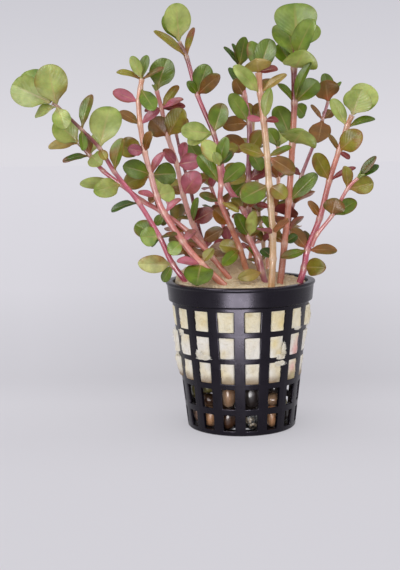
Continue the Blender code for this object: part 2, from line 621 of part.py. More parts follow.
def hits_pot(point):
    radius = math.hypot(point.x, point.y)
    if radius > POT_TOP_RADIUS + POT_CLEARANCE:
        return False
    if radius > wall_radius(POT_HEIGHT) - WALL - POT_CLEARANCE:
        return point.z < POT_HEIGHT + POT_CLEARANCE
    return point.z < wool_top(point.x, point.y) + POT_CLEARANCE


def blocked(leaf, placed, stems):
    points = leaf.samples()
    if any(hits_pot(point) for point in points):
        return True
    centre = leaf.surface(0.55, 0)
    for other in placed:
        if (other.surface(0.55, 0) - centre).length > (other.length + leaf.length) * 0.6 + 1.5:
            continue
        own = other.shoot == leaf.shoot
        apart = OWN_CLEARANCE if own else CLEARANCE
        skip = 10 if own and other.node == leaf.node else 0
        for point in points[skip:]:
            if any((point - each).length < apart for each in other.samples()[skip:]):
                return True
    for name, node, place, radius in stems:
        own = name == leaf.shoot
        if own and abs(node - leaf.node) < 0.3:
            continue
        if (place - centre).length > leaf.length + 2:
            continue
        apart = radius + (OWN_STEM_CLEARANCE if own else STEM_CLEARANCE)
        if any((point - place).length < apart for point in points):
            return True
    return False


def stem_samples():
    samples = []
    for name, (radius, _, nodes) in SHOOTS.items():
        points = shoot_points(nodes)
        for index in range(len(points) - 1):
            for step in range(10):
                place = stem_curve(points, index, step / 10)
                samples.append((name, index + step / 10, place, radius))
        samples.append((name, len(points) - 1, points[-1], radius))
    return samples


def fit_leaf(make, placed, stems):
    """Tries a leaf as given, then leaned or smaller, and keeps the first that touches nothing."""
    for size in SIZE_TRIES:
        for lean in LEAN_TRIES:
            leaf = make(lean, size)
            if not blocked(leaf, placed, stems):
                placed.append(leaf)
                return


def lay_out_leaves():
    """Places the leaves that show from the front first, and the ordinary pairs round them."""
    stems = stem_samples()
    placed = []
    for name, (_, _, nodes) in SHOOTS.items():
        points = shoot_points(nodes)
        for index, (_, leaves) in enumerate(nodes):
            for clock, length, width, lean, facing, tone in leaves or []:
                def make(more, size):
                    along, normal = leaf_from_front(clock, lean + more, facing)
                    stretch = foreshortening(lean, lean + more)
                    return Leaf(name, index, points[index], along, normal,
                                length * size * stretch, width * size, tone)
                fit_leaf(make, placed, stems)
    for name, (_, _, nodes) in SHOOTS.items():
        points = shoot_points(nodes)
        for index, (_, leaves) in enumerate(nodes):
            if leaves is not None:
                continue
            for along, normal, length, width, tone in ordinary_pair(name, points, index):
                def make(more, size):
                    turned = along + normal * math.sin(math.radians(more))
                    return Leaf(name, index, points[index], turned, normal,
                                length * size, width * size, tone)
                fit_leaf(make, placed, stems)
    return placed


# Shoots as solids

def stem_ring(bm, centre, axis, radius, side):
    front = side.cross(axis)
    ring = []
    for i in range(STEM_SIDES):
        turn = 2 * math.pi * i / STEM_SIDES
        ring.append(bm.verts.new(centre + (side * math.cos(turn) - front * math.sin(turn)) * radius))
    return ring


def grow_leaf(bm, base, leaf, tone_index):
    """Runs a thin blade from four points of the stem out to the leaf's tip."""
    rings = []
    full = leaf.length > SMALL_LEAF and leaf.width > NARROW_LEAF
    stations = LEAF_STATIONS if full else SMALL_LEAF_STATIONS
    for along_share, half_share in stations:
        middle = leaf.surface(along_share, 0)
        thick = leaf.normal * (LEAF_THICK / 2)
        rings.append([middle + thick, leaf.surface(along_share, half_share),
                      middle - thick, leaf.surface(along_share, -half_share)])

    def mismatch(shift):
        return sum((base[k].co - rings[0][(k + shift) % 4]).length_squared for k in range(4))

    shift = min(range(4), key=mismatch)
    previous = base
    faces = []
    for ring in rings:
        current = [bm.verts.new(ring[(k + shift) % 4]) for k in range(4)]
        for k in range(4):
            n = (k + 1) % 4
            faces.append(bm.faces.new((previous[k], previous[n], current[n], current[k])))
        previous = current
    end_share, end_half = LEAF_END
    ends = [bm.verts.new(leaf.surface(end_share, side * end_half)) for side in (1, -1)]
    upper, right, under, left = [previous[(k - shift) % 4] for k in range(4)]
    for corners in ((upper, right, ends[0]), (upper, ends[0], ends[1]), (upper, ends[1], left),
                    (under, left, ends[1]), (under, ends[1], ends[0]), (under, ends[0], right)):
        faces.append(bm.faces.new(corners))
    for face in faces:
        face.material_index = tone_index


def face_towards(low, high, centre, direction, taken):
    """The free side of the node band that looks most along a direction."""
    best = None
    for i in range(STEM_SIDES):
        if i in taken:
            continue
        j = (i + 1) % STEM_SIDES
        middle = (low[i].co + low[j].co + high[i].co + high[j].co) / 4 - centre
        score = middle.normalized().dot(direction)
        if best is None or score > best[0]:
            best = (score, i)
    return best[1]


def make_shoot(name, leaves, parent):
    radius, stem_tone, nodes = SHOOTS[name]
    points = shoot_points(nodes)
    tones = list(TONES)
    bm = bmesh.new()
    side = stem_axis(points, 0).cross(Vector((0, 1, 0))).normalized()
    last = None
    for index, point in enumerate(points):
        axis = stem_axis(points, index)
        side = (side - axis * side.dot(axis)).normalized()
        thick = radius * (1 - STEM_TAPERS.get(name, STEM_TAPER) * index / (len(points) - 1))
        low = stem_ring(bm, point - axis * (NODE_BAND / 2), axis, thick, side)
        high = stem_ring(bm, point + axis * (NODE_BAND / 2), axis, thick, side)
        known = set(bm.faces)
        if last:
            bridge(bm, last, low)
        else:
            bm.faces.new(list(reversed(low)))
        for face in set(bm.faces) - known:
            face.material_index = tones.index(stem_tone)
        taken = {}
        for leaf in leaves:
            if leaf.node == index and len(taken) < STEM_SIDES - 1:
                taken[face_towards(low, high, point, leaf.along, taken)] = leaf
        for i in range(STEM_SIDES):
            j = (i + 1) % STEM_SIDES
            quad = (low[i], low[j], high[j], high[i])
            if i in taken:
                grow_leaf(bm, quad, taken[i], tones.index(taken[i].tone))
            else:
                bm.faces.new(quad).material_index = tones.index(stem_tone)
        last = high
    bm.faces.new(last).material_index = tones.index(stem_tone)
    materials = [material(tone, TONES[tone], 0.45) for tone in tones]
    return add_object(name, bm, materials, parent)


def make_socket_cutter():
    """Slightly wide copies of the stem feet, which open the wool round them."""
    bm = bmesh.new()
    for radius, _, nodes in SHOOTS.values():
        if nodes[0][0][2] != 0:
            continue
        points = shoot_points(nodes)
        axis = stem_axis(points, 0)
        side = axis.cross(Vector((0, 1, 0))).normalized()
        wide = radius + SOCKET_GAP
        low = stem_ring(bm, points[0] - axis * (NODE_BAND / 2 + GAP), axis, wide, side)
        high = stem_ring(bm, points[0] + axis * (ROOT_DEPTH + SOCKET_ABOVE), axis, wide, side)
        bm.faces.new(list(reversed(low)))
        bridge(bm, low, high)
        bm.faces.new(high)
    cutter = add_object("socket_cutter", bm, [], None)
    cutter.hide_render = True
    cutter.display_type = "WIRE"
    return cutter


def main():
    clear_scene()
    plant = bpy.data.objects.new("potted_rotala", None)
    bpy.context.collection.objects.link(plant)
    make_pot(plant)
    make_pebbles(plant)
    make_wool(plant, make_socket_cutter())
    leaves = lay_out_leaves()
    for name in SHOOTS:
        make_shoot(name, [leaf for leaf in leaves if leaf.shoot == name], plant)


main()
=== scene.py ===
"""A potted rotala with smooth leaves and stems, a net pot, rock wool and stones.

The pot stands on z = 0 with its axis on the Z axis, and the plant's front faces -Y.
Sizes are in millimetres until a mesh is made; MM turns them into metres.
"""

import math
import random

import bpy
from mathutils import Euler, Matrix, Vector, noise

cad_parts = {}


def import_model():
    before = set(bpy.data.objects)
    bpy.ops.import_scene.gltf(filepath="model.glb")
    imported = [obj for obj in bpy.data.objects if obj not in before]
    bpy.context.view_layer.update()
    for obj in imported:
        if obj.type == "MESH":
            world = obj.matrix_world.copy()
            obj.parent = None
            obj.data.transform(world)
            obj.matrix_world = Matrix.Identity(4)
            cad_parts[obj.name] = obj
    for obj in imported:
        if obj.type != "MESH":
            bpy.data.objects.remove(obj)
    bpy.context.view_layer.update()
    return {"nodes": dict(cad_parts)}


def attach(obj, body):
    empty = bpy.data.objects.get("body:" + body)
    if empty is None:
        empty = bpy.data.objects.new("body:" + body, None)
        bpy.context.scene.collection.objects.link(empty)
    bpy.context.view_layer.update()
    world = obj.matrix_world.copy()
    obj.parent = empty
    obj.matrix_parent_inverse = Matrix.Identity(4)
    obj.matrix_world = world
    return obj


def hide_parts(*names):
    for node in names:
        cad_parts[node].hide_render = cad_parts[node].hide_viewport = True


MM = 0.001

# How a seed shifts the place that noise is read at
SEED_WAY = (1.0, 1.7, 0.3)

# Edges sharper than this many degrees stay sharp
SHARP_ANGLE = 60
POT_SHARP_ANGLE = 40
WOOL_SHARP_ANGLE = 50

# Camera: millimetres, degrees, and the focal length for a frame 570 units high
CAMERA_AT = (0.0, -355.5, 93.0)
CAMERA_PITCH = 7.3
CAMERA_YAW = 2.18
CAMERA_ROLL = -0.86
FOCAL_LENGTH = 1067
FRAME_HEIGHT = 570
SENSOR = 36.0

# Surroundings: screen colours of the backdrop at its foot and higher up, how far up that is
# as a slope, and the floor's brightness by its distance behind the pot in millimetres: a darker
# band behind the pot is painted shadow, the lighter strip round its foot is painted light that
# weakens the pot's own shadow there, and it rises far off to meet the backdrop
BACKDROP_LOW = (222, 220, 226)
BACKDROP_HIGH = (206, 205, 212)
BACKDROP_SLOPE = 0.13
FLOOR_NEAR = -100.0
FLOOR_FAR = 2900.0
FLOOR_TONES_WITH_PAINTED_SHADOW = ((-60, 0.66), (-20, 0.645), (25, 0.665), (70, 0.60), (170, 0.62), (350, 0.67),
               (900, 0.695), (2900, 0.715))
FLOOR_TINT = (1.0, 0.985, 1.03)
# Painted light: the share of its colour that the floor gives off itself, so that shadows on it  stay
# weak; then the light taken to fall on it, and the floor's half width
FLOOR_GLOW = 0.5
FLOOR_LIGHT = 0.93
FLOOR_HALF = 6000.0

# Where the floor takes on its far tone, and where the patch of painted shadow behind the pot
# begins and ends, in metres; that painted shadow is darker in its middle, which is given as a
# slope to the side, and a little lighter at the edge of that slope
FLOOR_FADE = (0.4, 2.5)
PAINTED_SHADOW_BEGINS = (0.02, 0.07)
PAINTED_SHADOW_ENDS = (0.3, 0.9)
PAINTED_SHADOW_SIDES = (0.05, 0.20)
PAINTED_SHADOW_SHADES = (0.94, 1.03)

# Sunlight from above and from the front: power, width in degrees and place, and its aim
OVERHEAD = (1.0, 90, (-60, -260, 600))
FRONT_FILL = (0.42, 80, (-60, -400, 90))
SUN_TARGET = (0, 0, 60)

# Cards that show in glossy surfaces: width, height, power, place and what they face
REFLECTION_CARDS = (
    ("low card", 62, 30, 0.11, (-6, -95, 16), (-2, -24, 40)),
    ("left card", 360, 260, 1.5, (-330, -260, 360), (0, 0, 90)),
    ("right card", 240, 260, 0.9, (380, -200, 320), (0, 0, 90)),
    ("left strip", 150, 300, 0.85, (-230, -300, 180), (0, 0, 90)),
)

# Net pot; each row of windows is given by its lower and its upper edge
POT_HEIGHT = 49.2
POT_TOP_RADIUS = 25.0
FLOOR_SLOT_FROM = 8.0
FLOOR_SLOT_TO = 13.5
WALL_RADIUS_LOW = 18.2
WALL_RADIUS_HIGH = 23.8
WALL_RADIUS_HIGH_AT = 50.0
WALL = 1.1
COLLAR_FROM = 42.8
COLLAR_STEP = 1.1
COLLAR_CHAMFER = 0.4
LIP_FROM = 48.2
RIBS = 16
RIB_WIDTH = 3.4
FIRST_RIB_TURN = -1.2
WINDOW_ROWS = ((1.7, 7.0), (9.1, 15.7), (17.6, 24.3), (26.0, 32.9), (34.7, 41.3))
WINDOW_CORNER = 0.25
WINDOW_EDGE = 0.18
CORNER_STEPS = 4
SIDE_STEPS = 4
LATHE_STEPS = 8
EDGE_ROUND = 0.3

# Corners of a cell that agree to this many digits are one point
SAME_DIGITS = 4

# Middle of a rounded edge as a share of its size, the flat rim beside one, the margin round the
# slots of the floor, the disc within them, and small steps of the collar and the lip
ROUND_SHARE = 0.3
SHOULDER_SHARE = 1.6
RIM_SHARE = 1.5
SLOT_MARGIN = 1.5
DISC_SHARE = 0.5
COLLAR_BELLY = 0.02
LIP_TUCK = 0.15
LIP_SOFT = 0.1

# Rock wool; across runs from -1 to 1 over a window, and further behind the ribs beside it
WOOL_BOTTOM = 17.8
WOOL_EDGE_TOP = 48.6
WOOL_MOUND = 9.5
WOOL_MOUND_AT = (-6.0, 6.0)
WOOL_MOUND_SPREAD = 9.5
WOOL_GAP = 0.5
WOOL_FLUSH = 0.1
WOOL_WINDOW_GAP = 0.05
WOOL_ACROSS = (-1.9, -1.4, -1.02, -0.999, -0.9, -0.75, -0.55, -0.3,
               0.0, 0.3, 0.55, 0.75, 0.9, 0.999, 1.02, 1.4)
WOOL_ROW_STEPS = 12
WOOL_TOP_STEPS = 26
FIRST_WOOL_ROW = 2
WOOL_ROUND = 0.4
WOOL_ROUND_POWER = 8
WOOL_SKIRTS = (0.6, 0.3)
WOOL_RIM = 0.5
WOOL_RIM_SHARE = 0.6

# Unevenness of the wool's side and of its top, each as height and size
WOOL_ROUGH = (0.16, 1.6)
WOOL_PUFF = (0.32, 6.0)
CROWN_LUMPS = (0.7, 3.0)
CROWN_GRAIN = (0.3, 1.2)
CROWN_FADE = 3
CROWN_DROP = 0.2

# Strands of wool in the windows and on top: how many there are, their points and sides, where
# they lie, and their length, bend, lift, thickness and brightness
FIBRES_PER_WINDOW = 40
TOP_FIBRES = 1500
STRAND_POINTS = 5
STRAND_SIDES = 3
STRAND_ENDS = 0.4
WINDOW_MARGIN = 0.3
WINDOW_END_MARGIN = 0.2
WINDOW_SPAN = 0.95
WINDOW_END_SPAN = 0.96
WINDOW_STRAND = (1.0, 3.0)
WINDOW_BEND = 0.5
WINDOW_LIFT = (-0.04, 0.22)
WINDOW_REACH = 0.4
TOP_STEP = (0.3, 0.9)
TOP_BEND = 0.6
TOP_LIFT = (-0.05, 0.35)
TOP_MARGIN = 2.0
TOP_OVER = 1.0
STRAND_TILT = (0.3, 0.2, 1.0)
FINE_STRAND = (0.03, 0.06)
COARSE_STRAND = (0.04, 0.08)
WINDOW_SHADES = (0.88, 1.12)
TOP_SHADES = (0.8, 1.15)
LUMP_SHADES = (0.96, 1.08)

# Tints of the wool, the heights where they change, and how strong the patches of each are
WOOL_WHITE = (1.0, 0.97, 0.91)
WOOL_CREAM = (1.0, 0.935, 0.74)
WOOL_FOOT_TINT = (0.34, 0.24, 0.14)
WOOL_TAN = (0.80, 0.67, 0.46)
CREAM_FROM = 32
CREAM_OVER = 4
CREAM_PATCHES = 0.5
WHITE_FROM = 26
YELLOW_SLOPE = 1.5
YELLOW_MOST = 0.7
FOOT_TINT_OVER = 2.8
FOOT_TINT_LEAST = 0.5
FOOT_TINT_PATCHES = 1.2
TAN_BELOW_TOP = 2
TAN_OVER = 3
FINE_SHADES = (0.96, 0.08)

# Where the wool has swollen out past the wall: heading in degrees, height, reach and spread
PROUD_PLACES = ((188, 24, 1.4, 7), (205, 28, 0.7, 4), (-4, 37, 1.2, 5), (-14, 34, 0.6, 5))
PROUD_WIDTH = 14

# Wool that has worked its way out over the bars: heading in degrees, height, half width,
# half height and thickness
LUMPS = (
    (-124.8, 26.2, 2.5, 0.9, 0.12),
    (-129.5, 27.2, 1.1, 1.3, 0.12),
    (-53.0, 26.2, 1.8, 0.9, 0.12),
    (-50.3, 28.4, 0.8, 2.2, 0.12),
    (-53.0, 23.9, 1.9, 0.8, 0.12),
    (-33.5, 34.7, 1.8, 0.6, 0.12),
    (-151, 33.3, 1.2, 0.9, 0.2),
    (-175, 30.5, 2.0, 2.8, 0.8),
    (-177, 22.0, 2.0, 3.2, 0.9),
    (-6, 36.5, 1.8, 3.0, 0.7),
    (34, 26.2, 2.4, 0.9, 0.2),
    (123, 34.8, 2.2, 0.8, 0.2),
)
LUMP_RINGS = (0.3, 0.55, 0.75, 0.9, 1.0)
LUMP_FOOT = (0.9, 0.02)
LUMP_SIDES = 22
LUMP_FIBRES = 60
LUMP_LIFT = 0.06
LUMP_SEED = 0.37
LUMP_WHITENESS = 0.75

# Unevenness of a lump's outline and of its height, each as strength and size
LUMP_COARSE = (0.24, 0.5)
LUMP_FINE = (0.14, 0.2)
LUMP_BUMPS = (0.6, 0.7)

# Strands over a lump: how far out they start and run, their bend and their lift, which is
# greatest in a few stray ones
LUMP_SPAN = 0.95
LUMP_REACH = (0.1, 1.15)
LUMP_STEP = (-0.1, 0.16)
LUMP_BEND = 0.5
LUMP_TURN = (0.3, 0.9)
LUMP_RAISE = (0.0, 0.15)
STRAY_RAISE = 0.7
STRAY_POWER = 6

# Stains on the wool: x, y, height, reach and colour
WHITE = (1.0, 0.985, 0.95)
PINK = (0.98, 0.60, 0.58)
YELLOW = (0.98, 0.84, 0.46)
OLIVE = (0.58, 0.50, 0.26)
BROWN = (0.42, 0.33, 0.22)
STAINS = (
    (17.6, -11.5, 27.2, 2.2, PINK),
    (17.0, -12.0, 21.5, 1.6, PINK),
    (17.8, -10.5, 30.5, 1.2, PINK),
    (13.4, -18.0, 37.0, 2.2, YELLOW),
    (11.2, -19.2, 30.6, 2.0, YELLOW),
    (12.4, -18.2, 26.8, 1.4, YELLOW),
    (17.2, -11.6, 18.6, 1.7, OLIVE),
    (-4.2, -18.9, 17.1, 2.3, BROWN),
    (3.4, -19.1, 16.9, 2.1, BROWN),
    (13.8, -12.6, 17.2, 1.8, BROWN),
)

# Stems and leaves, ordinary pairs of leaves, and how far leaves keep from what is near them
ROOT_DEPTH = 4.0
LEAF_CUP = 0.10
LEAF_SPREAD = 1.3
LEAF_ROUNDNESS = 0.6
PAIR_LENGTH = 8.4
PAIR_RATIO = 0.66
PAIR_SPREAD = 58
PAIR_BUD = 0.8
PAIR_START = 45
PAIR_TURN = 30
PAIR_SPREADS = (-10, 14)
PAIR_SIZES = (0.8, 1.15)
PAIR_TONES = ("green", "green", "olive", "olive", "brown", "brown", "pink")
CLEARANCE = 1.05
OWN_CLEARANCE = 0.8
STEM_CLEARANCE = 0.85
OWN_STEM_CLEARANCE = 0.2
POT_CLEARANCE = 0.7
LEAN_TRIES = (0, 8, -8, 16, -16, 24, -24, 32, -32, 42, -42, 55, -55)
LEAST_SHORTENING = 0.1
LONGEST_STRETCH = 1.25
SIZE_TRIES = (1.0, 0.85, 0.7, 0.55)

# Points that a leaf and a stem are tested at, and how far off a neighbour can be left out
LEAF_SAMPLES = 10
FIRST_SAMPLE = 2
SAMPLE_SIDES = (-1, -0.5, 0, 0.5, 1)
STALK_SAMPLES = 10
STEM_SAMPLES = 10
LEAF_CENTRE = 0.55
NEAR_SHARE = 0.6
NEAR_MARGIN = 1.5
OWN_NODE_SPAN = 0.3
STEM_MARGIN = 2

# Fine form of a stem, and how much thinner its tip is than its foot
STEM_SIDES = 12
STEM_STEPS = 10
STEM_FINENESS = 0.95
STEM_SEED = 31
NODE_SWELL = 0.22
NODE_REACH = 0.9
FAR_FROM_NODE = 9.0
STEM_TAPER = 0.3
STEM_TAPERS = {
    "shoot_far_left": 0.6,
    "shoot_thick_centre": 0.1,
    "shoot_tall_right": 0.12,
    "shoot_mid_back": 0.15,
}

# Fine form of a leaf: its blade, midrib and stalk
LEAF_SLOT = 1
BLADE_TIP = 0.975
WIDEST = 0.5 ** (1 / LEAF_SPREAD)
TIP_ROUNDNESS = 0.44
BLADE_START = 0.04
BLADE_STEPS = 16
BLADE_ACROSS = (-1.0, -0.82, -0.58, -0.32, -0.1, 0.0, 0.1, 0.32, 0.58, 0.82, 1.0)
BLADE_THICK = 0.42
BLADE_EDGE_THICK = 0.14
BLADE_ARCH = 0.05
BLADE_WAVE = 0.04
MIDRIB_GROOVE = 0.12
MIDRIB_RIDGE = 0.16
MIDRIB_WIDTH = 0.09
RIDGE_FADE = 0.7
STALK_HALF = 0.45
STALK_END = 0.30
BLADE_TIP_HALF = 0.04
BLADE_FREE_FROM = 0.25
STALK_DRAWN_IN = 0.8
STALK_THICKER = 0.6
CUP_POWER = 1.5
WAVES = 3.2

# Very small leaves at the tip of a shoot, and the shoots that have them
BUD_LEAVES = 3
BUD_LENGTH = 3.2
BUD_SPREAD = 0.35
BUD_SUNK = 0.6
BUD_WIDTH = 0.5
BUD_TONE = "fresh"
BUDS = ("side_shoot_right", "shoot_thin_peach", "shoot_pink_left", "shoot_pale_left",
        "shoot_back_left", "shoot_back_right", "shoot_back_low", "shoot_back_side")

# What differs from leaf to leaf, each as its least and its most
ARCHES = (-0.3, 1.6)
WAVINESS = (0.3, 1.2)
TWISTS = (-9, 9)
CUPS = (0.7, 2.0)
LEAF_SHADES = (0.88, 1.12)
RED_SHARES = (0.3, 0.8)
LEAF_SEEDS = (0, 50)

# Patches of tone, as strength and size: shade, and flushes and flecks of the edge's tone
LEAF_PATCH = (0.32, 3.2)
LEAF_FLUSH = (1.2, 4.5)
LEAF_FLECK = (0.5, 1.5)
PATCH_SEED = 9

# How far the stalk's and the edge's tones reach, and the darker line along the edge, which is
# painted shade where the blade curves away
STALK_TONE = 1.1
STALK_TONE_END = 0.4
STALK_TONE_POWER = 1.4
STALK_TONE_FALL = 0.6
RIM_TONE = 0.55
RIM_TONE_POWER = 4
TIP_TONE = 1.5
TIP_TONE_FROM = 0.8
PAINTED_EDGE_SHADE = 0.2
PAINTED_EDGE_SHADE_POWER = 10

# Patches of shade along a stem, and how pale the rings at its nodes are
STEM_PATCH = (0.16, 3.0)
NODE_RING = 0.5

